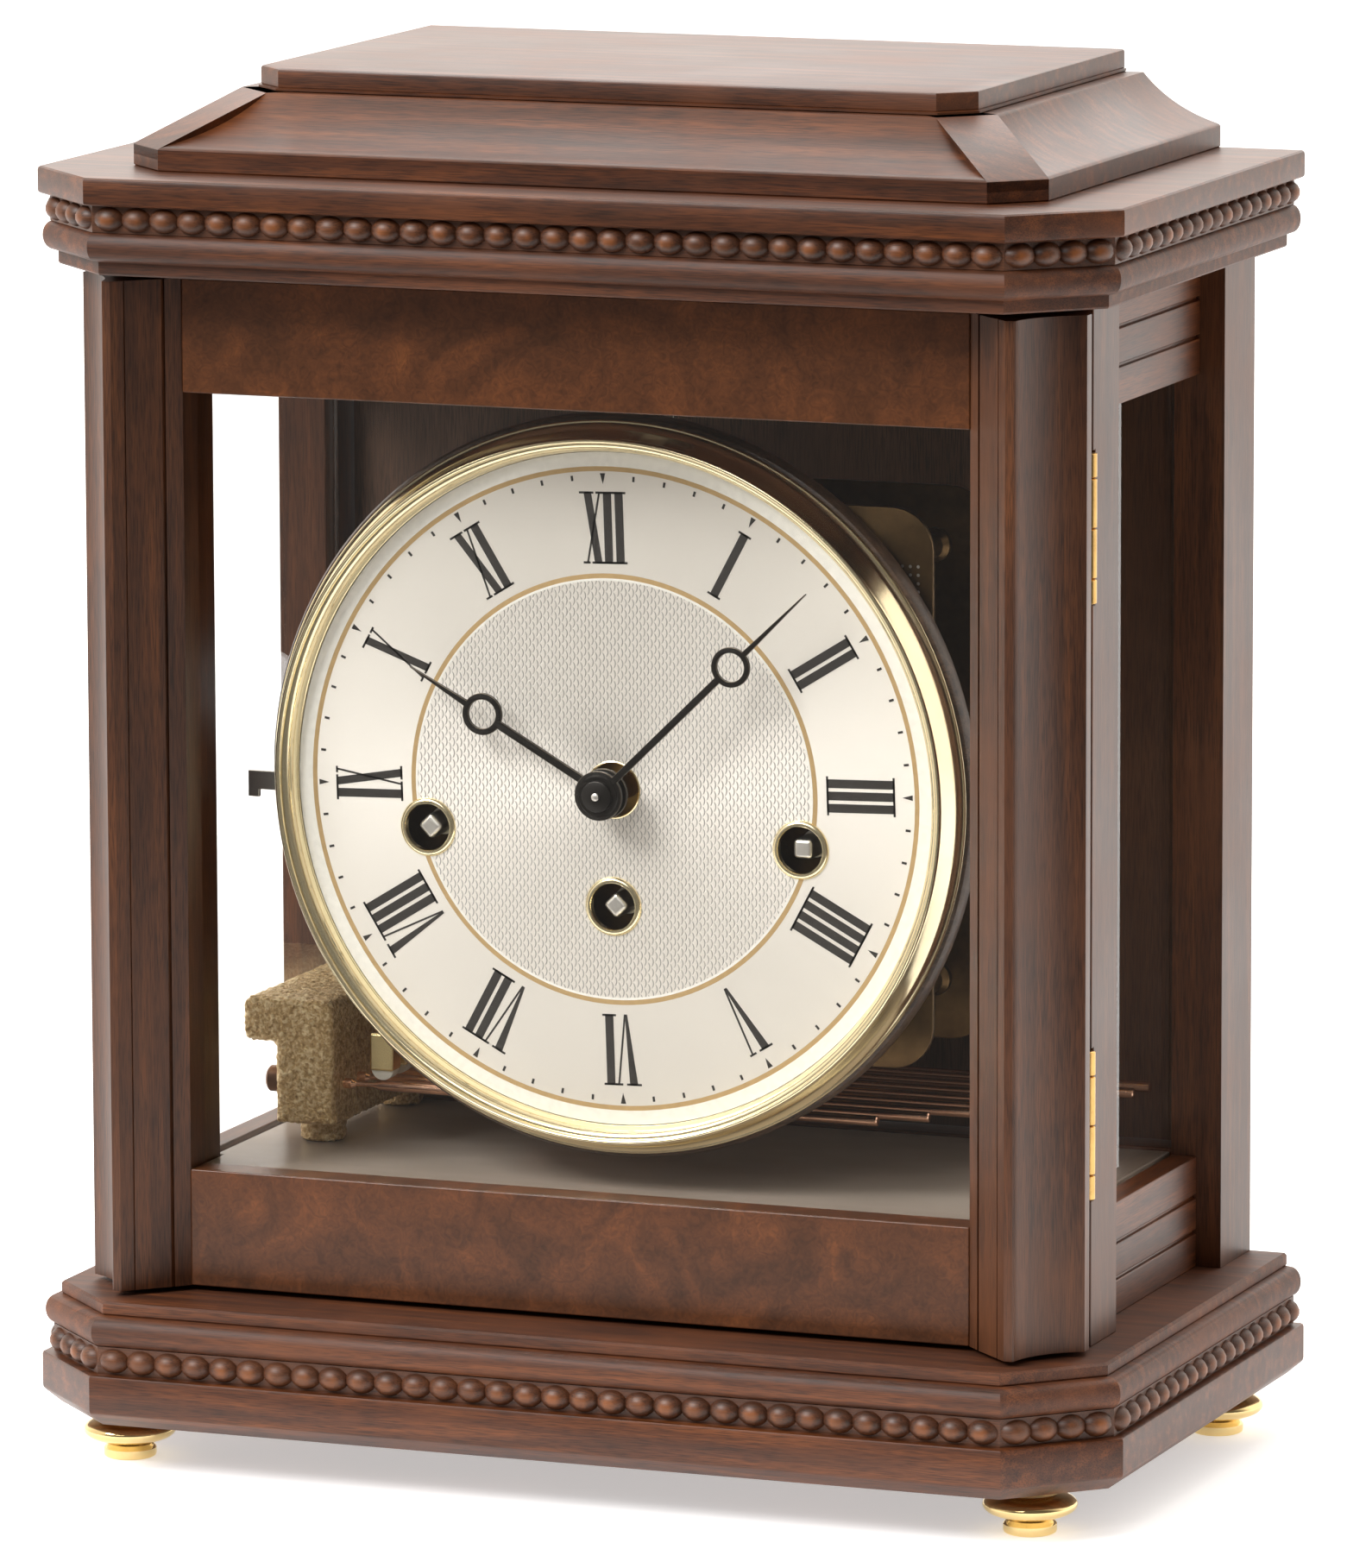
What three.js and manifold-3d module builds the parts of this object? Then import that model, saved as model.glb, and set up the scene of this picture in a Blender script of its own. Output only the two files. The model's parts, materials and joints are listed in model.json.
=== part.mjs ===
// Bracket clock with a chiming movement: a walnut case with bead and torus mouldings, a
// full-front glazed door on butt hinges, glazed sides, a round dial and an eight-rod chime.
// Millimetres. +Z is up, the front faces -Y, and the origin lies on the table below the
// middle of the case. Every mesh is one solid piece of the clock.
import * as THREE from "three";
import { mergeVertices } from "three/addons/utils/BufferGeometryUtils.js";
import Module from "manifold-3d";

const wasm = await Module();
wasm.setup();

// ---------------------------------------------------------------- driving dimensions
// Plan of the case. Every moulding is an offset of one octagon that is cut at its two
// front corners and square at the back, where all the boards finish flush.
const plinthHalfWidth = 120.3;
const caseDepth = 137.3;
const rearFace = caseDepth / 2;
const plinthFront = -caseDepth / 2;
const plinthCut = 19.5;
const cutGrowth = 2 - Math.SQRT2;

const footHeight = 10.05;
const footRadius = 9.8;
const footDiscRadius = 5.6;
const frontFootInset = 20;
const frontFootSetback = 19.5;
const rearFootInset = 13.8;
const rearFootSetback = 16.5;

const plinthHeight = 11.05;
const plinthBevel = 3.15;
const beadPitch = 6.2;
const beadRadius = 2.88;
const beadNeck = 1.1;
const beadSides = 6;
const beadSteps = 3;
const beadBackingInset = 3.2;
const beadCentreInset = 3.6;
const beadRowHeight = 5.8;
const baseTorusHeight = 6.25;
const baseTorusInset = 0.7;
const baseFilletInset = 3.9;
const baseFilletHeight = 2.9;
const torusSteps = 6;

const corniceSoffitInset = 5.1;
const corniceFrontInset = 6.8;
const soffitFilletHeight = 3;
const corniceTorusHeight = 6;
const corniceTorusProud = 3;
const corniceBeadProud = 0.4;
const corniceBeadHeight = 5.7;
const corniceBoardProud = 3.8;
const corniceBoardHeight = 5.7;

// Heights of the case between base and cornice.
const caseHeight = 215.05;

// Side frames, measured inward from the outer face of the stiles.
const stileOuter = plinthHalfWidth - 12.1;
const stileInner = stileOuter - 16.4;
const stileWidth = 16.1;
const postInner = stileOuter - 14.2;
const postWidth = 19.8;
const railOuter = stileOuter - 5.4;
const railInner = stileOuter - 19.4;
const bottomRailHeight = 23.75;
const topRailHeight = 25.1;
const railGrooves = [0.32, 0.64];
const railGrooveDepth = 0.8;
const railGrooveWidth = 0.8;
const paneThickness = 3;
const paneOuter = stileOuter - 11.4;
const paneHold = 4;
const paneGap = 0.3;
const floorThickness = 3.2;
const floorApron = 8;

// Front door.
const doorGapBelow = 1.15;
const doorGapAbove = 1.7;
const doorBackGap = 0.6;
const doorThickness = 12.5;
const doorOpeningHalf = stileOuter - 21.7;
const doorBottomRail = 24.8;
const doorTopRail = 23.8;
const doorPaneSetback = 7.7;
const doorPaneHold = 4;
const splayWidth = 11.3;
const splayDepth = 10.7;
const filletWidth = 2.1;
const filletStep = 1.05;
const coveWidth = 10.3;
const coveDepth = 13.15;
const coveRadius = 18;
const doorSideFlat = 2.8;
const doorArris = 1.8;
const coveSteps = 5;

// Butt hinges of the front door and the long hinge of the back door.
const hingeInsets = [30.7, 61.6];
const hingeLength = 31;
const hingeEndShare = 0.51;
const knuckleRadius = 1.5;
const pinRadius = 0.7;
const pinClearance = 0.25;
const knuckleGap = 0.3;
const leafThickness = 0.9;
const leafWidth = 11;
const hingeInset = 0.6;
const mortiseGap = 0.3;
const rearHingeLength = 120;
const rearKnuckleRadius = 1.3;
const rearLeafThickness = 0.5;
const rearLeafWidth = 5;

// Back of the case.
const backSetback = 2;
const backRailThickness = 13;
const backBottomRail = 24;
const backTopRail = 19.1;
const rearDoorThickness = 6;
const rearDoorGap = 0.6;
const fingerHoleRadius = 9;
const fingerHoleInset = 20;

// Lid: a vertical band, a cove on three sides with flat corner blocks, and a flat top.
const lidHalf = plinthHalfWidth - 19.9;
const lidFront = 19.3;
const lidCut = 9.75;
const lidBand = 4.8;
const lidCoveRise = 10.4;
const lidCoveRun = 17.1;
const lidCoveSag = 2.2;
const lidCoveSteps = 6;
const lidTopHalf = lidHalf - 21.3;
const lidTopFront = 39.9;
const lidTopCut = 6.7;
const lidTopHeight = 3.9;
const lidStripHeight = 0.8;
const lidStripProud = 0.4;

// Dial, bezel and hands. The dial faces -Y, is centred over x = 0 and in the height of the
// door's opening, and fills the narrower way of that opening.
const openingBottom = baseLevel() + doorGapBelow + doorBottomRail;
const openingTop = baseLevel() + caseHeight - doorGapAbove - doorTopRail;
const dialHeight = (openingBottom + openingTop) / 2;
const bezelRadius = Math.min(0.867 * doorOpeningHalf, 0.4584 * (openingTop - openingBottom));
const dialSetback = 10.6;
const dialRadius = bezelRadius - 4.8;
const dialThickness = 1;
const centreHole = 5.7;
const windingHole = 4.9;
const eyeletRadius = 6.3;
const eyeletProud = 0.7;
const bezelInner = bezelRadius - 4.4;
const bezelFront = 5.4;
const bezelBack = 2.6;
const ringRadius = bezelRadius + 3;
const ringInner = bezelRadius - 17;
const ringDepth = 6.6;
const ringStep = 1.6;
const dialFootRadius = ringInner + 4;
const roundSides = 44;
const wheelSides = 16;
const smallSides = 10;

const sideArborX = 0.553 * bezelRadius;
const sideArborDrop = 0.136 * bezelRadius;
const centreArborDrop = 0.327 * bezelRadius;

const hourHandLength = 0.659 * bezelRadius;
const hourHandRing = 0.412 * bezelRadius;
const hourHandAngle = 299.5;
const minuteHandLength = 0.849 * bezelRadius;
const minuteHandRing = 0.544 * bezelRadius;
const minuteHandAngle = 45.9;
const handThickness = 0.8;
const hourHandAhead = 5.8;
const minuteHandAhead = 8.6;
const handRunning = 0.4;

// Movement. Its back plate stands midway between the third and the fourth hammer.
const plateHalfWidth = 0.887 * bezelRadius;
const plateHeight = 1.56 * bezelRadius;
const plateDrop = 0.756 * bezelRadius;
const plateThickness = 1.5;
const plateCorner = 9;
const frontPlateSetback = 10.6;
const hammersInFront = 3;
const pillarRadius = 3;
const pillarX = plateHalfWidth - 6.5;
const pillarDrops = [plateHeight - plateDrop - 16.4, 12.8 - plateDrop];
const barrelRadius = 0.273 * bezelRadius;
const barrelEndGap = 2.5;
const arborRadius = 2.9;
const squareSide = 4.2;
const squareBehindDial = 1;
const pivotClearance = 0.3;
const hangerWidth = 6.6;
const hangerThickness = 3;
const saddleHalf = 6;
const saddleThickness = 1.6;
const balanceRadius = 11;
const balanceRise = 0.453 * bezelRadius;
const leverPivotX = -plateHalfWidth + 5.5;
const leverDrop = 4;
const leverReach = 25;
const leverThickness = 1;

// Chime: rods in a rough cast block, struck from above by one hammer each.
const rodCount = 8;
const firstRodSetback = 14.85;
const lastRodClearance = 5.25;
const rodRadius = 1.1;
const rodAboveFloor = 13.1;
const longestRodTip = paneOuter - 8.8;
const shortestRodTip = longestRodTip * 0.557;
const blockFlangeLeft = 4.5 - paneOuter;
const blockLegLeft = blockFlangeLeft + 7.3;
const blockLegRight = blockLegLeft + 13.6;
const blockFlangeHeight = 10;
const blockHeight = 27.3;
const blockFootHeight = 4.7;
const blockMargin = 7.4;
const blockRound = 2.4;
const blockFootRadius = 5;
const blockFootInset = 11;
const plugRadius = 2.8;
const plugProud = 3;
const hammerX = blockLegRight + 9.1;
const hammerPivotX = hammerX + 16.3;
const hammerPivotAboveRods = 24.6;
const hammerHeadWidth = 5.4;
const hammerHeadHeight = 8;
const hammerHeadShare = 0.62;
const hammerEyeShare = 0.4;
const hammerTipHeight = 2.1;
const hammerRestGap = 0.4;
const hammerArm = 1.8;
const hammerArborRadius = 1.4;

// ---------------------------------------------------------------- levels and planes
// The height of the base's upper face, on which the case stands.
function baseLevel() {
  return footHeight + plinthHeight + beadRowHeight + baseTorusHeight + baseFilletHeight;
}

const plinthTop = footHeight + plinthHeight;
const baseBeadTop = plinthTop + beadRowHeight;
const baseTorusTop = baseBeadTop + baseTorusHeight;
const baseTop = baseLevel();
const soffit = baseTop + caseHeight;
const soffitFilletTop = soffit + soffitFilletHeight;
const corniceTorusTop = soffitFilletTop + corniceTorusHeight;
const corniceBeadTop = corniceTorusTop + corniceBeadHeight;
const corniceTop = corniceBeadTop + corniceBoardHeight;
const lidBandTop = corniceTop + lidBand;
const lidCoveTop = lidBandTop + lidCoveRise;
const lidTop = lidCoveTop + lidStripHeight + lidTopHeight;

const caseFront = plinthFront + 34.1;
const stileBack = caseFront + stileWidth;
const postFront = rearFace - postWidth;
const doorBack = caseFront - doorBackGap;
const doorFront = doorBack - doorThickness;
const doorBottom = baseTop + doorGapBelow;
const doorTop = soffit - doorGapAbove;
const hingeHeights = [baseTop + hingeInsets[0], soffit - hingeInsets[1]];
const doorPaneFront = doorFront + doorPaneSetback;
const paneInner = paneOuter - paneThickness;
const railTop = baseTop + bottomRailHeight;
const topRailBottom = soffit - topRailHeight;
const floorTop = railTop - 0.3;
const floorUnder = floorTop - floorThickness;
const hingeAxisX = stileOuter - hingeInset;
const hingeAxisY = (doorBack + caseFront) / 2;
const backFace = rearFace - backSetback;
const rearDoorBottom = baseTop + backBottomRail;
const rearDoorTop = soffit - backTopRail;
const rearAxisX = postInner - rearDoorGap;
const rearAxisY = backFace + 0.4;

const dialFace = caseFront + dialSetback;
const dialBack = dialFace + dialThickness;
const ringFront = dialBack + ringStep;
const ringBack = dialBack + ringDepth;
const frontPlate = dialFace + frontPlateSetback;
const firstRodY = frontPlate + firstRodSetback;
const lastRodY = backFace - rearDoorThickness - lastRodClearance;
const rodPitch = (lastRodY - firstRodY) / (rodCount - 1);
const backPlate = firstRodY + rodPitch * (hammersInFront - 0.5) - plateThickness / 2;
const plateBottom = dialHeight - plateDrop;
const plateTop = plateBottom + plateHeight;
const rodHeight = floorTop + rodAboveFloor;
const hammerPivotZ = rodHeight + hammerPivotAboveRods;

// ---------------------------------------------------------------- finishes
const finish = (color, roughness, metalness, extra = {}) =>
  new THREE.MeshStandardMaterial({ color, roughness, metalness, ...extra });
const walnut = () => finish(0x5c3424, 0.35, 0);
const burl = () => finish(0x6e3f28, 0.3, 0);
const brass = () => finish(0xd9b56a, 0.2, 1);
const castBronze = () => finish(0xa08d5c, 0.6, 1);
const copper = () => finish(0xc47f5a, 0.25, 1);
const steel = () => finish(0xb9bcc0, 0.3, 1);
const blackSteel = () => finish(0x26231f, 0.35, 0.6);
const silvered = () => finish(0xdcd7cb, 0.4, 0.6);
const glass = () => finish(0xdfe8e8, 0.05, 0, { transparent: true, opacity: 0.25 });

// ---------------------------------------------------------------- solids and booleans
// A closed three.js geometry as a solid that can be joined and cut.
function solid(geometry) {
  const bare = geometry.clone();
  bare.deleteAttribute("normal");
  bare.deleteAttribute("uv");
  const merged = mergeVertices(bare, 1e-4);
  return new wasm.Manifold(
    new wasm.Mesh({
      numProp: 3,
      vertProperties: merged.attributes.position.array,
      triVerts: new Uint32Array(merged.index.array),
    }),
  );
}

// The surface of a solid as a three.js geometry.
function surface(body) {
  const mesh = body.getMesh();
  const geometry = new THREE.BufferGeometry();
  geometry.setAttribute("position", new THREE.BufferAttribute(mesh.vertProperties, 3));
  geometry.setIndex(new THREE.BufferAttribute(mesh.triVerts, 1));
  geometry.computeVertexNormals();
  return geometry;
}

const join = (first, ...rest) => rest.reduce((sum, next) => sum.add(next), first);
const cut = (body, ...tools) => tools.reduce((left, tool) => left.subtract(tool), body);

// A block between two corners.
function block(x0, x1, y0, y1, z0, z1) {
  const geometry = new THREE.BoxGeometry(x1 - x0, y1 - y0, z1 - z0);
  geometry.translate((x0 + x1) / 2, (y0 + y1) / 2, (z0 + z1) / 2);
  return solid(geometry);
}

// A plan outline of [x, y] points raised from z0 to z1.
function prism(outline, z0, z1) {
  const shape = new THREE.Shape(outline.map(([x, y]) => new THREE.Vector2(x, y)));
  const geometry = new THREE.ExtrudeGeometry(shape, {
    depth: z1 - z0,
    bevelEnabled: false,
  });
  geometry.translate(0, 0, z0);
  return solid(geometry);
}

// A front-view shape of x and z, with its holes, given thickness from y0 back to y1.
function slab(shape, y0, y1, curveSegments = 8) {
  const geometry = new THREE.ExtrudeGeometry(shape, {
    depth: y1 - y0,
    bevelEnabled: false,
    curveSegments,
  });
  geometry.rotateX(Math.PI / 2);
  geometry.translate(0, y1, 0);
  return solid(geometry);
}

// A turned solid about the Y axis through (x, z). The profile runs from front to back as
// [radius, y] points.
function turnedY(profile, x, z, sides) {
  const points = profile.map(([r, y]) => new THREE.Vector2(r, y));
  const geometry = new THREE.LatheGeometry(points, sides);
  geometry.translate(x, 0, z);
  const body = solid(geometry);
  if (body.volume() > 0) return body;
  return solid(flipped(geometry));
}

// A turned solid about the vertical through (x, y), from [radius, z] points.
function turnedZ(profile, x, y, sides) {
  const points = profile.map(([r, z]) => new THREE.Vector2(r, z));
  const geometry = new THREE.LatheGeometry(points, sides);
  geometry.rotateX(Math.PI / 2);
  geometry.translate(x, y, 0);
  return solid(geometry);
}

// The same geometry with every triangle turned round.
function flipped(geometry) {
  const turned = geometry.clone();
  const index = turned.index.array;
  for (let i = 0; i < index.length; i += 3) {
    [index[i + 1], index[i + 2]] = [index[i + 2], index[i + 1]];
  }
  return turned;
}

const rodY = (x, z, radius, y0, y1, sides = smallSides) =>
  turnedY([[0, y0], [radius, y0], [radius, y1], [0, y1]], x, z, sides);
const rodZ = (x, y, radius, z0, z1, sides = smallSides) =>
  turnedZ([[0, z0], [radius, z0], [radius, z1], [0, z1]], x, y, sides);

// A bar along X.
function rodX(y, z, radius, x0, x1, sides = smallSides) {
  const geometry = new THREE.CylinderGeometry(radius, radius, x1 - x0, sides);
  geometry.rotateZ(Math.PI / 2);
  geometry.translate((x0 + x1) / 2, y, z);
  return solid(geometry);
}

// ---------------------------------------------------------------- moulded boards
// The plan octagon at one offset outward from the plinth's outline. The front may be set
// back further than the sides.
function caseOutline(offset, extraSetback = 0) {
  const half = plinthHalfWidth + offset;
  const front = plinthFront + extraSetback - offset;
  const chamfer = plinthCut + offset * cutGrowth;
  return planOutline(half, front, chamfer);
}

function planOutline(half, front, chamfer) {
  return [
    [-half, rearFace],
    [-half, front + chamfer],
    [-half + chamfer, front],
    [half - chamfer, front],
    [half, front + chamfer],
    [half, rearFace],
  ];
}

// A closed solid through plan rings of equal length, each [outline, z], bottom to top.
function stack(rings) {
  const sides = rings[0][0].length;
  const points = rings.flatMap(([outline, z]) => outline.flatMap(([x, y]) => [x, y, z]));
  const index = [];
  for (let level = 0; level + 1 < rings.length; level += 1) {
    for (let side = 0; side < sides; side += 1) {
      const next = (side + 1) % sides;
      const low = level * sides;
      const high = low + sides;
      index.push(low + side, low + next, high + next);
      index.push(low + side, high + next, high + side);
    }
  }
  const last = (rings.length - 1) * sides;
  for (let side = 1; side + 1 < sides; side += 1) {
    index.push(0, side + 1, side);
    index.push(last, last + side, last + side + 1);
  }
  const geometry = new THREE.BufferGeometry();
  geometry.setAttribute("position", new THREE.Float32BufferAttribute(points, 3));
  geometry.setIndex(index);
  return solid(geometry);
}

// The rings of a half-round edge that bulges outward to `proud` between two heights.
function torusRings(z0, z1, seat, proud, outlineAt) {
  const rings = [];
  for (let step = 0; step <= torusSteps; step += 1) {
    const angle = (Math.PI * step) / torusSteps;
    const offset = seat + (proud - seat) * Math.sin(angle);
    const height = (z0 + z1) / 2 - ((z1 - z0) / 2) * Math.cos(angle);
    rings.push([outlineAt(offset), height]);
  }
  return rings;
}

// One row of touching beads, turned as a string about the line between two plan points.
function beadString([x0, y0], [x1, y1], z) {
  const length = Math.hypot(x1 - x0, y1 - y0);
  const count = Math.round(length / beadPitch);
  const pitch = length / count;
  const points = [new THREE.Vector2(0, 0)];
  for (let bead = 0; bead < count; bead += 1) {
    for (let step = 0; step < beadSteps; step += 1) {
      const angle = (Math.PI * step) / beadSteps;
      const radius = beadNeck + (beadRadius - beadNeck) * Math.sin(angle);
      const along = pitch * (bead + 0.5) - (pitch / 2) * Math.cos(angle);
      points.push(new THREE.Vector2(radius, along));
    }
  }
  points.push(new THREE.Vector2(beadNeck, length));
  points.push(new THREE.Vector2(0, length));
  const geometry = new THREE.LatheGeometry(points, beadSides);
  geometry.rotateZ(-Math.PI / 2);
  geometry.rotateZ(Math.atan2(y1 - y0, x1 - x0));
  geometry.translate(x0, y0, z);
  const body = solid(geometry);
  return body.volume() > 0 ? body : solid(flipped(geometry));
}

// A board edged on its front, its chamfers and its sides with a row of beads.
function beadedBoard(outlineAt, backing, centre, z0, z1) {
  const line = outlineAt(centre);
  const middle = (z0 + z1) / 2;
  const strings = line.slice(1).map((end, side) => beadString(line[side], end, middle));
  const room = prism(outlineAt(centre + beadRadius + 1), z0, z1);
  const board = prism(outlineAt(backing), z0, z1);
  return join(board, ...strings.map((string) => string.intersect(room)));
}

// ---------------------------------------------------------------- base and feet
function foot(x, y) {
  const profile = [
    [0, 0],
    [footDiscRadius, 0],
    [footDiscRadius, 2.4],
    [4.6, 2.9],
    [footRadius - 1.6, 3.6],
    [footRadius, 5.2],
    [footRadius, 6.4],
    [footRadius - 1.8, 8.2],
    [5.4, 8.8],
    [5.4, footHeight],
    [0, footHeight],
  ];
  return turnedZ(profile, x, y, 12);
}

function plinth() {
  const bevelled = caseOutline(-baseFilletInset + 0.3);
  const full = caseOutline(0);
  return stack([
    [bevelled, footHeight],
    [full, footHeight + plinthBevel],
    [full, plinthTop],
  ]);
}

function baseTopBoard() {
  const seat = -baseFilletInset + 0.9;
  const rings = torusRings(baseBeadTop, baseTorusTop, seat, -baseTorusInset, caseOutline);
  rings.push([caseOutline(-baseFilletInset), baseTorusTop]);
  rings.push([caseOutline(-baseFilletInset), baseTop]);
  return stack(rings);
}

// ---------------------------------------------------------------- cornice and lid
const corniceOutline = (proud) =>
  caseOutline(proud - corniceSoffitInset, corniceFrontInset - corniceSoffitInset);

function corniceSoffitBoard() {
  const bulge = torusRings(soffitFilletTop, corniceTorusTop, 0.9, corniceTorusProud, corniceOutline);
  return stack([[corniceOutline(0), soffit], [corniceOutline(0), soffitFilletTop], ...bulge]);
}

function corniceTopBoard() {
  const outline = corniceOutline(corniceBoardProud);
  return prism(outline, corniceBeadTop, corniceTop);
}

const lidOutline = (inset) =>
  planOutline(lidHalf - inset, plinthFront + lidFront + inset, lidCut);

// The coves curve in from the band; the two flat corner blocks stand proud of them.
function lidCoveBody() {
  const rings = [[lidOutline(0), corniceTop], [lidOutline(0), lidBandTop]];
  for (let step = 1; step <= lidCoveSteps; step += 1) {
    const part = step / lidCoveSteps;
    const sag = lidCoveSag * 4 * part * (1 - part);
    const inset = lidCoveRun * part + sag * 0.5;
    const height = lidBandTop + lidCoveRise * part - sag * 0.5;
    rings.push([lidOutline(inset), height]);
  }
  const outer = [lidOutline(0), lidOutline(lidCoveRun)];
  return join(stack(rings), cornerBlock(outer, 1), cornerBlock(outer, 3));
}

// A wedge under the flat slope between the chamfer of the band and that of the top.
function cornerBlock([low, high], side) {
  const inward = (outline) => [
    outline[side],
    outline[side + 1],
    [outline[side + 1][0] * 0.8, outline[side + 1][1] * 0.5],
    [outline[side][0] * 0.8, outline[side][1] * 0.5],
  ];
  return stack([
    [inward(low), corniceTop + lidBand / 2],
    [inward(low), lidBandTop],
    [inward(high), lidCoveTop],
  ]);
}

function lidTopBoard() {
  const strip = planOutline(
    lidTopHalf + lidStripProud,
    plinthFront + lidTopFront - lidStripProud,
    lidTopCut,
  );
  const top = planOutline(lidTopHalf, plinthFront + lidTopFront, lidTopCut);
  const stripTop = lidCoveTop + lidStripHeight;
  return stack([[strip, lidCoveTop], [strip, stripTop], [top, stripTop], [top, lidTop]]);
}

// ---------------------------------------------------------------- case sides and floor
// The pieces of the right side; the left side is their mirror image.
const mirrored = ([x, y]) => [-x, y];
const sided = (side, x0, x1) => (side > 0 ? [x0, x1] : [-x1, -x0]);

function sideBlock(side, x0, x1, y0, y1, z0, z1) {
  const [from, to] = sided(side, x0, x1);
  return block(from, to, y0, y1, z0, z1);
}

const paneSlot = (side, y0, y1, z0, z1) =>
  sideBlock(side, paneInner - paneGap, paneOuter + paneGap, y0, y1, z0, z1);

function frontStile(side) {
  const body = sideBlock(side, stileInner, stileOuter, caseFront, stileBack, baseTop, soffit);
  const slot = paneSlot(side, stileBack - paneHold - paneGap, stileBack + 1, baseTop - 1, soffit + 1);
  if (side < 0) return cut(body, slot, catchHole());
  return cut(body, slot, ...hingeHeights.flatMap((z) => hingeRelief(z, 1)));
}

function rearPost(side) {
  const body = sideBlock(side, postInner, stileOuter, postFront, rearFace, baseTop, soffit);
  const slot = paneSlot(side, postFront - 1, postFront + paneHold + paneGap, baseTop - 1, soffit + 1);
  if (side < 0) return cut(body, slot);
  return cut(body, slot, ...rearHingeRelief());
}

// The grooves that divide the outer face of a side rail into three bands.
function grooves(side, z0, z1) {
  return railGrooves.map((part) => {
    const z = z0 + (z1 - z0) * part;
    const low = z - railGrooveWidth / 2;
    const high = z + railGrooveWidth / 2;
    const depth = railOuter - railGrooveDepth;
    return sideBlock(side, depth, railOuter + 1, stileBack - 1, postFront + 1, low, high);
  });
}

function sideBottomRail(side) {
  const body = sideBlock(side, railInner, railOuter, stileBack, postFront, baseTop, railTop);
  const slotEnd = paneOuter + paneGap;
  const above = railTop + 1;
  const ends = [stileBack - 1, postFront + 1];
  const rebate = sideBlock(side, railInner - 1, slotEnd, ...ends, floorUnder, above);
  return cut(body, rebate, ...grooves(side, baseTop, railTop));
}

function sideTopRail(side) {
  const body = sideBlock(side, railInner, railOuter, stileBack, postFront, topRailBottom, soffit);
  const slotTop = topRailBottom + paneHold + paneGap;
  const slot = paneSlot(side, stileBack - 1, postFront + 1, topRailBottom - 1, slotTop);
  return cut(body, slot, ...grooves(side, topRailBottom, soffit));
}

const sidePane = (side) =>
  sideBlock(
    side,
    paneInner,
    paneOuter,
    stileBack - paneHold,
    postFront + paneHold,
    floorUnder + paneGap,
    topRailBottom + paneHold,
  );

// The floor board with the apron that carries its front edge.
function floorBoard() {
  const half = paneInner - 2 * paneGap;
  const rear = backFace - backRailThickness - paneGap;
  const front = caseFront + paneGap;
  const board = block(-half, half, front + stileWidth + 0.2, rear, floorUnder, floorTop);
  const tongueHalf = stileInner - paneGap;
  const tongue = block(-tongueHalf, tongueHalf, front, front + stileWidth + 0.4, floorUnder, floorTop);
  const apronHalf = railInner - paneGap;
  const apron = block(-apronHalf, apronHalf, front, front + floorApron, baseTop, floorUnder + 0.5);
  return join(board, tongue, apron);
}

// ---------------------------------------------------------------- back of the case
function backRail(z0, z1) {
  return block(-postInner, postInner, backFace - backRailThickness, backFace, z0, z1);
}

function rearDoor() {
  const clearance = rearDoorGap / 2;
  const body = block(
    -postInner + rearDoorGap,
    postInner - 2 * rearDoorGap,
    backFace - rearDoorThickness,
    backFace,
    rearDoorBottom + clearance,
    rearDoorTop - clearance,
  );
  const holeX = -postInner + fingerHoleInset;
  const holeZ = (rearDoorBottom + rearDoorTop) / 2;
  const hole = rodY(holeX, holeZ, fingerHoleRadius, backFace - 8, backFace + 1, 20);
  return cut(body, hole, ...rearHingeRelief());
}

// Room for the long hinge in the door's edge and in the post.
function rearHingeRelief() {
  const middle = (rearDoorBottom + rearDoorTop) / 2;
  const z0 = middle - rearHingeLength / 2 - mortiseGap;
  const z1 = middle + rearHingeLength / 2 + mortiseGap;
  const reach = rearDoorGap + rearLeafThickness + mortiseGap;
  const depth = rearLeafWidth + mortiseGap;
  return [
    block(rearAxisX - reach, rearAxisX + reach, rearAxisY - depth, rearAxisY + 2, z0, z1),
    rodZ(rearAxisX, rearAxisY, rearKnuckleRadius + mortiseGap, z0, z1),
  ];
}

function rearHingeLeaf(onDoor) {
  const middle = (rearDoorBottom + rearDoorTop) / 2;
  const z0 = middle - rearHingeLength / 2;
  const side = onDoor ? -1 : 1;
  const near = rearAxisX + side * rearDoorGap * 0.5;
  const far = rearAxisX + side * (rearDoorGap + rearLeafThickness);
  const leaf = block(
    Math.min(near, far),
    Math.max(near, far),
    rearAxisY - rearLeafWidth,
    rearAxisY,
    z0,
    z0 + rearHingeLength,
  );
  const rest = { x: rearAxisX, y: rearAxisY, radius: rearKnuckleRadius, z0, length: rearHingeLength };
  return knuckled(leaf, { ...rest, count: 6, endShare: 1, onDoor });
}

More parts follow.
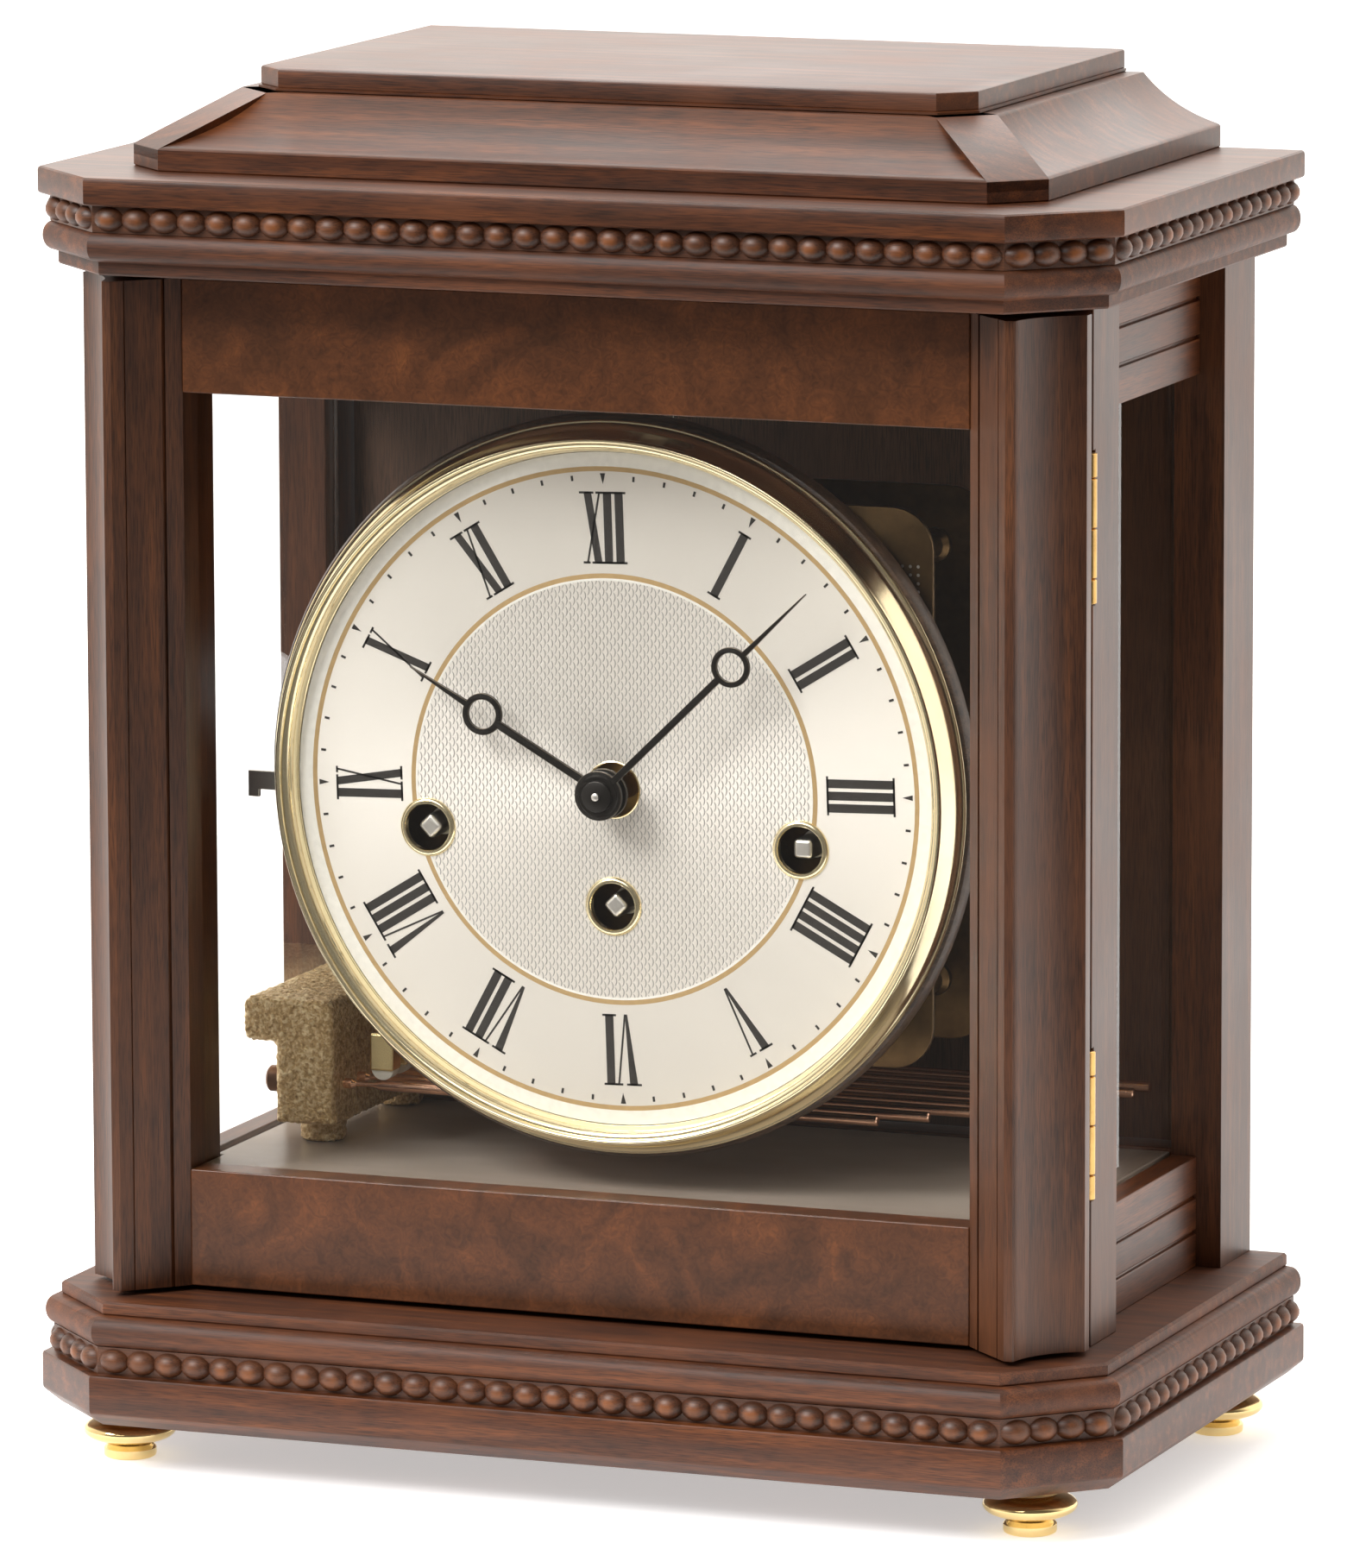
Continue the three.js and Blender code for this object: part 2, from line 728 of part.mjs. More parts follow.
// Adds alternate knuckles to a leaf. The two end ones are `endShare` as long as the rest.
// The door's leaf carries the pin; the other is bored.
function knuckled(leaf, { x, y, radius, z0, length, count, endShare, onDoor }) {
  const pitch = length / (count - 2 + 2 * endShare);
  const start = (i) => (i === 0 ? z0 : z0 + pitch * (i - 1 + endShare));
  const end = (i) => (i === count - 1 ? z0 + length : start(i + 1));
  let body = leaf;
  for (let i = 0; i < count; i += 1) {
    const own = (i % 2 === 0) === onDoor;
    const low = start(i) + (i === 0 ? 0 : knuckleGap / 2);
    const high = end(i) - (i === count - 1 ? 0 : knuckleGap / 2);
    if (own) body = join(body, rodZ(x, y, radius, low, high));
    else {
      const room = radius + mortiseGap;
      body = cut(body, rodZ(x, y, room, low - mortiseGap / 3, high + mortiseGap / 3));
    }
  }
  const pin = (r) => rodZ(x, y, r, z0 - (onDoor ? 0 : 1), z0 + length + (onDoor ? 0 : 1), 8);
  return onDoor ? join(body, pin(pinRadius)) : cut(body, pin(pinRadius + pinClearance));
}

// ---------------------------------------------------------------- front door
// Plan of one pilaster-like stile: the splay from the opening, a narrow fillet, a cove
// back to the side, and the rebate for the pane.
function doorStileOutline() {
  const filletX = doorOpeningHalf + splayWidth;
  const filletY = doorFront - splayDepth;
  const coveStart = [filletX + filletWidth, filletY + filletStep];
  const coveEnd = [coveStart[0] + coveWidth, coveStart[1] + coveDepth];
  const outline = [
    [doorOpeningHalf, doorFront],
    [filletX, filletY],
    [filletX + filletWidth, filletY],
    ...arcBetween(coveStart, coveEnd, coveRadius, coveSteps),
    [coveEnd[0], coveEnd[1] + doorSideFlat],
    [stileOuter, doorBack - doorArris * 0.8],
    [stileOuter - doorArris, doorBack],
    [doorOpeningHalf + doorPaneHold + paneGap, doorBack],
    [doorOpeningHalf + doorPaneHold + paneGap, doorPaneFront],
    [doorOpeningHalf, doorPaneFront],
  ];
  return outline;
}

// Points of a circle arc from one plan point to another, hollow towards +x and -y.
function arcBetween([x0, y0], [x1, y1], radius, steps) {
  const half = Math.hypot(x1 - x0, y1 - y0) / 2;
  const rise = Math.sqrt(radius * radius - half * half);
  const cx = (x0 + x1) / 2 + ((y1 - y0) / (2 * half)) * rise;
  const cy = (y0 + y1) / 2 - ((x1 - x0) / (2 * half)) * rise;
  const from = Math.atan2(y0 - cy, x0 - cx);
  let to = Math.atan2(y1 - cy, x1 - cx);
  if (to - from > Math.PI) to -= 2 * Math.PI;
  if (from - to > Math.PI) to += 2 * Math.PI;
  const points = [];
  for (let step = 0; step <= steps; step += 1) {
    const angle = from + ((to - from) * step) / steps;
    points.push([cx + radius * Math.cos(angle), cy + radius * Math.sin(angle)]);
  }
  return points;
}

function doorStile(side) {
  const right = doorStileOutline();
  const outline = side > 0 ? right : right.map(mirrored).reverse();
  const body = prism(outline, doorBottom, doorTop);
  return side > 0 ? cut(body, ...hingeHeights.flatMap((z) => hingeRelief(z, -1))) : body;
}

function doorRail(z0, z1, paneEdge, open) {
  const shoulder = doorOpeningHalf + doorPaneHold + paneGap;
  const outline = [
    [-doorOpeningHalf, doorFront],
    [doorOpeningHalf, doorFront],
    [doorOpeningHalf, doorPaneFront],
    [shoulder, doorPaneFront],
    [shoulder, doorBack],
    [-shoulder, doorBack],
    [-shoulder, doorPaneFront],
    [-doorOpeningHalf, doorPaneFront],
  ];
  const rebate = block(
    -shoulder - 1,
    shoulder + 1,
    doorPaneFront,
    doorBack + 1,
    Math.min(paneEdge, open),
    Math.max(paneEdge, open),
  );
  return cut(prism(outline, z0, z1), rebate);
}

const doorPane = () =>
  block(
    -doorOpeningHalf - doorPaneHold,
    doorOpeningHalf + doorPaneHold,
    doorPaneFront,
    doorPaneFront + paneThickness,
    openingBottom - doorPaneHold,
    openingTop + doorPaneHold,
  );

// Room for one butt hinge: the leaf's mortise and the round seat of its knuckles.
function hingeRelief(z, side) {
  const z0 = z - mortiseGap;
  const z1 = z + hingeLength + mortiseGap;
  const face = side > 0 ? caseFront : doorBack;
  const depth = side * (leafThickness + mortiseGap);
  const low = Math.min(face - side, face + depth);
  const high = Math.max(face - side, face + depth);
  return [
    block(hingeAxisX - leafWidth - mortiseGap, stileOuter + 1, low, high, z0, z1),
    rodZ(hingeAxisX, hingeAxisY, knuckleRadius + mortiseGap, z0, z1),
  ];
}

function hingeLeaf(z, onDoor) {
  const face = onDoor ? doorBack : caseFront;
  const inward = onDoor ? -1 : 1;
  const y0 = Math.min(face, face + inward * leafThickness);
  const y1 = Math.max(face, face + inward * leafThickness);
  const leaf = block(hingeAxisX - leafWidth, hingeAxisX, y0, y1, z, z + hingeLength);
  const rest = { x: hingeAxisX, y: hingeAxisY, radius: knuckleRadius, z0: z, length: hingeLength };
  return knuckled(leaf, { ...rest, count: 4, endShare: hingeEndShare, onDoor });
}

// The round magnet catch let into the left stile.
const catchX = -99.5;
const catchRadius = 3;
const catchLength = 8;
const catchZ = dialHeight;
const catchHole = () =>
  rodY(catchX, catchZ, catchRadius + paneGap, caseFront - 1, caseFront + catchLength + paneGap);
const doorCatch = () =>
  rodY(catchX, catchZ, catchRadius, caseFront - 0.2, caseFront + catchLength);

// ---------------------------------------------------------------- dial, bezel and hands
const windingPoints = [
  ["left", -sideArborX, dialHeight - sideArborDrop],
  ["centre", 0, dialHeight - centreArborDrop],
  ["right", sideArborX, dialHeight - sideArborDrop],
];

// The wooden ring behind the dial, with four feet that stand on the movement.
function dialRing() {
  const ring = turnedY(
    [
      [ringInner, dialBack],
      [dialRadius, dialBack],
      [dialRadius, ringFront],
      [ringRadius, ringFront],
      [ringRadius, ringBack],
      [ringInner, ringBack],
      [ringInner, dialBack],
    ],
    0,
    dialHeight,
    roundSides,
  );
  const feet = [45, 135, 225, 315].map((degrees) => {
    const angle = THREE.MathUtils.degToRad(degrees);
    const x = dialFootRadius * Math.cos(angle);
    const z = dialHeight + dialFootRadius * Math.sin(angle);
    return rodY(x, z, 2.5, ringBack - 0.5, frontPlate, 8);
  });
  return join(ring, ...feet);
}

// The dial with its centre hole and three winding holes, each with a brass eyelet.
function dialPlate() {
  const disc = rodY(0, dialHeight, dialRadius, dialFace, dialBack, roundSides);
  const eyelets = windingPoints.map(([, x, z]) => {
    const profile = [[0, dialFace - eyeletProud], [eyeletRadius - 0.6, dialFace - eyeletProud]];
    profile.push([eyeletRadius, dialFace], [eyeletRadius, dialBack], [0, dialBack]);
    return turnedY(profile, x, z, wheelSides);
  });
  const holes = windingPoints.map(([, x, z]) =>
    rodY(x, z, windingHole, dialFace - 2, dialBack + 1, wheelSides),
  );
  const middle = rodY(0, dialHeight, centreHole, dialFace - 1, dialBack + 1, wheelSides);
  return cut(join(disc, ...eyelets), ...holes, middle);
}

function bezel() {
  const front = dialFace - bezelFront;
  const back = dialFace + bezelBack;
  const profile = [
    [bezelInner, back],
    [bezelInner, dialFace - 0.4],
    [bezelInner + 0.9, dialFace - 1.6],
    [bezelInner + 1.5, dialFace - 3.4],
    [bezelInner + 2.6, front],
    [bezelRadius - 0.8, front],
    [bezelRadius, front + 0.9],
    [bezelRadius, back],
    [bezelInner, back],
  ];
  return turnedY(profile, 0, dialHeight, roundSides);
}

// The outline of a hand: a boss, a thin arm, a ring, and a tapering point.
function handShape(length, ringAt, ringOuter, ringHole, boss, arm) {
  const shape = new THREE.Shape();
  const ringHalf = Math.asin(arm / 2 / ringOuter);
  const bossHalf = Math.asin(arm / 2 / boss);
  const north = Math.PI / 2;
  shape.absarc(0, 0, boss, north + bossHalf, north - bossHalf + 2 * Math.PI, false);
  shape.lineTo(arm / 2, ringAt - ringOuter * Math.cos(ringHalf));
  shape.absarc(0, ringAt, ringOuter, -north + ringHalf, north - ringHalf * 0.8, false);
  shape.lineTo(arm * 0.36, ringAt + ringOuter + 2);
  shape.lineTo(0, length);
  shape.lineTo(-arm * 0.36, ringAt + ringOuter + 2);
  shape.absarc(0, ringAt, ringOuter, north + ringHalf * 0.8, 3 * north - ringHalf, false);
  const eye = new THREE.Path();
  eye.absarc(0, ringAt, ringHole, 0, 2 * Math.PI, true);
  shape.holes.push(eye);
  return shape;
}

// A hand turned to its angle, clockwise from twelve as seen from the front.
function handSlab(shape, degrees, y0) {
  const geometry = new THREE.ExtrudeGeometry(shape, {
    depth: handThickness,
    bevelEnabled: false,
    curveSegments: 8,
  });
  geometry.rotateX(Math.PI / 2);
  geometry.rotateY(THREE.MathUtils.degToRad(degrees));
  geometry.translate(0, y0 + handThickness, dialHeight);
  return solid(geometry);
}

const hourPipeRadius = 2.8;
const minuteArborRadius = 1.3;

function hourHand() {
  const front = dialFace - hourHandAhead;
  const shape = handShape(hourHandLength, hourHandRing, 4.4, 3.05, 5.3, 1.7);
  const hand = handSlab(shape, hourHandAngle, front);
  const collar = rodY(0, dialHeight, 4.2, front, front + 3.2);
  const pipe = rodY(0, dialHeight, hourPipeRadius, front, frontPlate + plateThickness);
  const wheel = rodY(0, dialHeight, 11, frontPlate - 2.6, frontPlate - 1.6, wheelSides);
  const bore = rodY(0, dialHeight, minuteArborRadius + handRunning, front - 1, backPlate);
  return cut(join(hand, collar, pipe, wheel), bore);
}

function minuteHand() {
  const front = dialFace - minuteHandAhead;
  const shape = handShape(minuteHandLength, minuteHandRing, 4.2, 3, 5.2, 1.5);
  const hand = handSlab(shape, minuteHandAngle, front);
  const collar = rodY(0, dialHeight, 4.4, front, front + 1.9);
  const nut = rodY(0, dialHeight, 3.3, front - 1.2, front);
  const pin = rodY(0, dialHeight, 0.8, front - 1.9, front);
  const arbor = rodY(0, dialHeight, minuteArborRadius, front, backPlate - pivotClearance);
  return join(hand, collar, nut, pin, arbor);
}

// ---------------------------------------------------------------- movement
function plateShape() {
  const shape = new THREE.Shape();
  const w = plateHalfWidth;
  const r = plateCorner;
  shape.moveTo(-w + r, plateBottom);
  shape.lineTo(w - r, plateBottom);
  shape.absarc(w - r, plateBottom + r, r, -Math.PI / 2, 0, false);
  shape.lineTo(w, plateTop - r);
  shape.absarc(w - r, plateTop - r, r, 0, Math.PI / 2, false);
  shape.lineTo(-w + r, plateTop);
  shape.absarc(-w + r, plateTop - r, r, Math.PI / 2, Math.PI, false);
  shape.lineTo(-w, plateBottom + r);
  shape.absarc(-w + r, plateBottom + r, r, Math.PI, 1.5 * Math.PI, false);
  return shape;
}

// Slab keeps x and turns the shape's y into z with the front towards -Y.
const plate = (y0) => slab(plateShape(), y0, y0 + plateThickness, 3);

const pivotHole = (x, z, radius, y0) =>
  rodY(x, z, radius + pivotClearance, y0 - 1, y0 + plateThickness + 1);

function frontPlateBody() {
  const holes = windingPoints.map(([, x, z]) => pivotHole(x, z, arborRadius, frontPlate));
  const centre = pivotHole(0, dialHeight, hourPipeRadius, frontPlate);
  const hammer = pivotHole(hammerPivotX, hammerPivotZ, hammerArborRadius, frontPlate);
  return cut(plate(frontPlate), ...holes, centre, hammer);
}

// The back plate with its four pillars, the hammers' arbor and the balance stud.
function backPlateBody() {
  const plateBack = backPlate + plateThickness;
  const pillars = [-pillarX, pillarX].flatMap((x) =>
    pillarDrops.map((drop) =>
      rodY(x, dialHeight + drop, pillarRadius, frontPlate + plateThickness, backPlate + 0.2, 8),
    ),
  );
  const arbor = rodY(
    hammerPivotX,
    hammerPivotZ,
    hammerArborRadius,
    frontPlate + 0.3,
    lastRodY + rodPitch * hammerHeadShare * 0.5 + 0.4,
    8,
  );
  const stud = rodY(0, dialHeight + balanceRise, 1.2, backPlate + 0.5, plateBack + 6, 8);
  const holes = windingPoints.map(([, x, z]) => pivotHole(x, z, arborRadius * 0.7, backPlate));
  const body = cut(plate(backPlate), ...holes);
  return join(body, ...pillars, arbor, stud);
}

// A spring barrel with its winding arbor, which ends in a square behind the dial.
function windingArbor(x, z, turned) {
  const barrelFront = frontPlate + plateThickness + barrelEndGap;
  const barrelBack = backPlate - barrelEndGap;
  const tip = dialFace + squareBehindDial;
  const plateBack = backPlate + plateThickness;
  const barrel = turnedY(
    [
      [0, barrelFront],
      [barrelRadius - 1, barrelFront],
      [barrelRadius - 1, barrelFront + 1.6],
      [barrelRadius, barrelFront + 1.6],
      [barrelRadius, barrelFront + 4],
      [barrelRadius - 1, barrelFront + 4],
      [barrelRadius - 1, barrelBack],
      [0, barrelBack],
    ],
    x,
    z,
    wheelSides,
  );
  const arbor = rodY(x, z, arborRadius, tip + 7, barrelBack);
  const pivot = rodY(x, z, arborRadius * 0.7, barrelBack - 0.5, plateBack + 0.5, 8);
  const side = squareSide / 2;
  const geometry = new THREE.BoxGeometry(squareSide, 8, squareSide);
  if (turned) geometry.rotateY(Math.PI / 4);
  geometry.translate(x, tip + 4, z);
  const chamfered = turnedY([[0, tip - 1], [side, tip], [side + 2, tip + 8], [0, tip + 8]], x, z, 8);
  return join(barrel, arbor, pivot, solid(geometry).intersect(chamfered));
}

function balanceWheel() {
  const y0 = backPlate + plateThickness + 1.6;
  const z = dialHeight + balanceRise;
  const tall = rodY(0, z, balanceRadius, y0, y0 + 2.4, wheelSides);
  const rim = cut(tall, rodY(0, z, balanceRadius - 1.6, y0 - 1, y0 + 4, wheelSides));
  const spoke = block(-balanceRadius + 1, balanceRadius - 1, y0 + 0.6, y0 + 1.6, z - 0.9, z + 0.9);
  const hub = rodY(0, z, 2.6, y0 - 0.4, y0 + 3);
  const bore = rodY(0, z, 1.2 + pivotClearance, y0 - 2, y0 + 5);
  return cut(join(rim, spoke, hub), bore);
}

// The steel hanger that carries the movement from the soffit.
function movementHanger() {
  const middle = (frontPlate + backPlate + plateThickness) / 2;
  const saddle = block(
    -saddleHalf,
    saddleHalf,
    frontPlate - 0.5,
    backPlate + plateThickness + 0.5,
    plateTop,
    plateTop + saddleThickness,
  );
  const half = hangerWidth / 2;
  const bar = block(
    -half,
    half,
    middle - hangerThickness / 2,
    middle + hangerThickness / 2,
    plateTop + 0.5,
    soffit - 1,
  );
  const flange = block(-10, 10, middle - 8, middle + 8, soffit - 2, soffit);
  return join(saddle, bar, flange);
}

// The hooked lever at nine o'clock that silences the chime.
function silenceLever() {
  const z = dialHeight - leverDrop;
  const y1 = frontPlate - 1.2;
  const y0 = y1 - leverThickness;
  const arm = block(leverPivotX - leverReach, leverPivotX, y0, y1, z - 2, z + 2);
  const boss = rodY(leverPivotX, z, 3.4, y0, y1);
  const hook = block(leverPivotX - leverReach, leverPivotX - leverReach + 2.6, y0, y1, z - 3.6, z + 1);
  const stud = rodY(leverPivotX, z, 1.4, y0, frontPlate - 0.3, 8);
  return join(arm, boss, hook, stud);
}

// ---------------------------------------------------------------- chime
const rodPlace = (i) => firstRodY + rodPitch * i;
const rodTip = (i) =>
  shortestRodTip + (longestRodTip - shortestRodTip) * Math.sin((Math.PI / 2) * (i / (rodCount - 1)));

// The cast block: a leg that grips the rods under a flange, on two low feet.
function chimeBlock() {
  const bottom = floorTop + blockFootHeight;
  const top = bottom + blockHeight;
  const r = blockRound;
  const y0 = firstRodY - blockMargin;
  const y1 = rodPlace(rodCount - 1) + 3.2;
  const shape = new THREE.Shape();
  shape.moveTo(blockLegLeft, bottom);
  shape.lineTo(blockLegRight, bottom);
  shape.lineTo(blockLegRight, top - r);
  shape.absarc(blockLegRight - r, top - r, r, 0, Math.PI / 2, false);
  shape.absarc(blockFlangeLeft + r, top - r, r, Math.PI / 2, Math.PI, false);
  shape.lineTo(blockFlangeLeft, top - blockFlangeHeight + r);
  shape.absarc(blockFlangeLeft + r, top - blockFlangeHeight + r, r, Math.PI, 1.5 * Math.PI, false);
  shape.lineTo(blockLegLeft, top - blockFlangeHeight);
  const casting = slab(shape, y0, y1, 3);
  const footX = (blockLegLeft + blockLegRight) / 2;
  const feet = [y0 + blockFootInset, y1 - blockFootInset].map((y) =>
    rodZ(footX, y, blockFootRadius, floorTop, bottom + 1),
  );
  const rods = [];
  for (let i = 0; i < rodCount; i += 1) {
    const y = rodPlace(i);
    rods.push(rodX(y, rodHeight, rodRadius, blockLegRight - 1, rodTip(i), 6));
    rods.push(rodX(y, rodHeight, plugRadius, blockLegLeft - plugProud, blockLegLeft + 1, 8));
  }
  return join(casting, ...feet, ...rods);
}

// A hammer: head and tip over its rod, the arm, the pivot eye and a short tail.
function hammer(i) {
  const y = rodPlace(i);
  const tipLow = rodHeight + rodRadius + hammerRestGap;
  const headLow = tipLow + hammerTipHeight;
  const halfWidth = hammerHeadWidth / 2;
  const halfDepth = (rodPitch * hammerHeadShare) / 2;
  const eyeHalf = (rodPitch * hammerEyeShare) / 2;
  const head = block(
    hammerX - halfWidth,
    hammerX + halfWidth,
    y - halfDepth,
    y + halfDepth,
    headLow,
    headLow + hammerHeadHeight,
  );
  const tip = block(
    hammerX - halfWidth + 0.5,
    hammerX + halfWidth - 0.5,
    y - halfDepth + 0.7,
    y + halfDepth - 0.7,
    tipLow,
    headLow + 0.5,
  );
  const armHalf = hammerArm / 2;
  const headTop = headLow + hammerHeadHeight;
  const arm = slabBetween([hammerX, headTop - 1], [hammerPivotX, hammerPivotZ], armHalf, y);
  const tail = slabBetween(
    [hammerPivotX, hammerPivotZ],
    [hammerPivotX + 7, hammerPivotZ + 4],
    armHalf,
    y,
  );
  const eye = rodY(hammerPivotX, hammerPivotZ, 3, y - eyeHalf, y + eyeHalf);
  const bore = rodY(hammerPivotX, hammerPivotZ, hammerArborRadius + pivotClearance, y - 3, y + 3, 8);
  return cut(join(head, tip, arm, tail, eye), bore);
}

// A flat bar between two points of the front view, centred on y.
function slabBetween([x0, z0], [x1, z1], half, y) {
  const length = Math.hypot(x1 - x0, z1 - z0);
  const geometry = new THREE.BoxGeometry(length, 1.6, 2 * half);
  geometry.rotateY(-Math.atan2(z1 - z0, x1 - x0));
  geometry.translate((x0 + x1) / 2, y, (z0 + z1) / 2);
  return solid(geometry);
}

// ---------------------------------------------------------------- assembly
const clock = new THREE.Group();

function add(name, body, material) {
  const mesh = new THREE.Mesh(surface(body), material);
  mesh.name = name;
  clock.add(mesh);
}

add("base_plinth", plinth(), walnut());
add(
  "base_bead_moulding",
  beadedBoard(caseOutline, -beadBackingInset, -beadCentreInset, plinthTop, baseBeadTop),
  walnut(),
);
add("base_top_board", baseTopBoard(), walnut());

const frontFootX = plinthHalfWidth - frontFootInset;
const frontFootY = plinthFront + frontFootSetback;
const rearFootX = plinthHalfWidth - rearFootInset;
const rearFootY = rearFace - rearFootSetback;
add("foot_front_left", foot(-frontFootX, frontFootY), brass());
add("foot_front_right", foot(frontFootX, frontFootY), brass());
add("foot_rear_left", foot(-rearFootX, rearFootY), brass());
add("foot_rear_right", foot(rearFootX, rearFootY), brass());

for (const [word, side] of [["left", -1], ["right", 1]]) {
  add("front_stile_" + word, frontStile(side), walnut());
  add("rear_post_" + word, rearPost(side), walnut());
  add("side_bottom_rail_" + word, sideBottomRail(side), walnut());
  add("side_top_rail_" + word, sideTopRail(side), walnut());
  add("side_glass_" + word, sidePane(side), glass());
}
add("floor_board", floorBoard(), walnut());
add("back_bottom_rail", backRail(baseTop, rearDoorBottom), walnut());
add("back_top_rail", backRail(rearDoorTop, soffit), walnut());
add("rear_door", rearDoor(), walnut());
add("rear_hinge_case_leaf", rearHingeLeaf(false), brass());
add("rear_hinge_door_leaf", rearHingeLeaf(true), brass());

add("cornice_soffit_board", corniceSoffitBoard(), walnut());
add(
  "cornice_bead_moulding",
  beadedBoard(corniceOutline, corniceBeadProud, corniceBeadProud, corniceTorusTop, corniceBeadTop),
  walnut(),
);
add("cornice_top_board", corniceTopBoard(), walnut());
add("lid_cove_body", lidCoveBody(), walnut());
add("lid_top_board", lidTopBoard(), walnut());

add("door_stile_left", doorStile(-1), walnut());
add("door_stile_right", doorStile(1), walnut());
add(
  "door_bottom_rail",
  doorRail(doorBottom, openingBottom, openingBottom - doorPaneHold - paneGap, openingBottom + 1),
  burl(),
);
add(
  "door_top_rail",
  doorRail(openingTop, doorTop, openingTop + doorPaneHold + paneGap, openingTop - 1),
  burl(),
);
add("door_glass", doorPane(), glass());
for (const [word, height] of [["lower", hingeHeights[0]], ["upper", hingeHeights[1]]]) {
  add("door_hinge_" + word + "_case_leaf", hingeLeaf(height, false), brass());
  add("door_hinge_" + word + "_door_leaf", hingeLeaf(height, true), brass());
}
add("door_catch", doorCatch(), steel());

add("dial_ring", dialRing(), walnut());
add("dial_plate", dialPlate(), silvered());
add("bezel", bezel(), brass());
add("hour_hand", hourHand(), blackSteel());
add("minute_hand", minuteHand(), blackSteel());

add("movement_front_plate", frontPlateBody(), brass());
add("movement_back_plate", backPlateBody(), brass());
windingPoints.forEach(([word, x, z]) => {
  add("winding_arbor_" + word, windingArbor(x, z, word !== "right"), steel());
});
add("balance_wheel", balanceWheel(), brass());
add("movement_hanger", movementHanger(), steel());
add("silence_lever", silenceLever(), steel());

add("chime_block", chimeBlock(), castBronze());
for (let i = 0; i < rodCount; i += 1) {
  add("chime_hammer_" + (i + 1), hammer(i), i % 2 ? copper() : brass());
}

export default clock;
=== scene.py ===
"""Looks of a bracket clock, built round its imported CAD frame.

Every sub-assembly is a class that builds its pieces from the frame's own boxes. Sizes in
the code are millimetres in the frame's axes: +Z up, the front towards -Y.
"""

import json
import logging
import math
from dataclasses import dataclass, field
from enum import Enum
from typing import Callable, Iterable, Sequence

import bmesh
import bpy
from mathutils import Matrix, Vector

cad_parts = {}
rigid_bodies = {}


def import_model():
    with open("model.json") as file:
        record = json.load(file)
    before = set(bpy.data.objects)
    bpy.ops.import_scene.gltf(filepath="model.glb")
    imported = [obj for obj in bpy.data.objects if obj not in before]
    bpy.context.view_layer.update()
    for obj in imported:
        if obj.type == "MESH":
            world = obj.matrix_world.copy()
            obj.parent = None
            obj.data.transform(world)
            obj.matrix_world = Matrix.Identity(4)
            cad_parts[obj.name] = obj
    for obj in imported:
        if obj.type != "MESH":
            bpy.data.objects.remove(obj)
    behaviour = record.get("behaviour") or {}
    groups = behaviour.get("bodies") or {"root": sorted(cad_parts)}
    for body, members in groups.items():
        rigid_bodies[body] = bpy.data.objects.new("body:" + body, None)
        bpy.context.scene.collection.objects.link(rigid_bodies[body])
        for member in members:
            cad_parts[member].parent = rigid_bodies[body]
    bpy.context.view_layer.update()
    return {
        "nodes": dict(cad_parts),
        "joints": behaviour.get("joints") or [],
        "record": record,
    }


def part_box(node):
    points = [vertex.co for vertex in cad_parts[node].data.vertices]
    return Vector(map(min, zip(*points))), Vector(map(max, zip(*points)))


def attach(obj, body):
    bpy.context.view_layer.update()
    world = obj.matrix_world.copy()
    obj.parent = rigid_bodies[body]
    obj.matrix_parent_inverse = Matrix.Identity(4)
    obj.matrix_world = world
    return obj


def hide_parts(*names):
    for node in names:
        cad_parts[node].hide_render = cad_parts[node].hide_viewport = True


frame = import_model()

LOG = logging.getLogger("bracket_clock")
MM = 0.001
ROUND_SIDES = 96
SMALL_SIDES = 32
SHARP_ANGLE = math.radians(32)
LIFT = 0.03  # height of one layer of print over the dial, in millimetres
FRONTWARD = (math.pi / 2, 0.0, 0.0)
BACKWARD = (-math.pi / 2, 0.0, 0.0)
STOOD_UP = Matrix(((1, 0, 0), (0, 0, -1), (0, 1, 0))).to_4x4()  # from x and y to x and z

Point = tuple[float, float]
Triple = tuple[float, float, float]
Loop = list[Point]
Piece = bpy.types.Object
Node = bpy.types.Node
Socket = bpy.types.NodeSocket
Tree = bpy.types.NodeTree


class Grain(Enum):
    """Direction in which the fibres of a piece of wood run."""

    ACROSS = "x"
    DEEP = "y"
    UPRIGHT = "z"


class Turning(Enum):
    """Axis about which a piece was turned."""

    FACING = "y"
    STANDING = "z"
    LYING = "x"


# ------------------------------------------------------------------ nodes and colours
def linear(colour: str) -> tuple[float, float, float, float]:
    """Turns an sRGB hex colour into linear light.

    Args:
        colour: Six hex digits.

    Returns:
        Red, green, blue and a full alpha.
    """
    parts = [int(colour[i:i + 2], 16) / 255 for i in (0, 2, 4)]
    light = [c / 12.92 if c <= 0.04045 else ((c + 0.055) / 1.055) ** 2.4 for c in parts]
    return (*light, 1.0)


def feed(tree: Tree, node: Node, inputs: dict[str | int, object]) -> None:
    """Sets or links inputs of a node.

    Args:
        tree: The node's tree.
        node: The node.
        inputs: Values, sockets, or nodes that stand for their first output, by input
            name or number.
    """
    for key, value in inputs.items():
        source = value.outputs[0] if isinstance(value, Node) else value
        if isinstance(source, Socket):
            tree.links.new(source, node.inputs[key])
        else:
            node.inputs[key].default_value = source


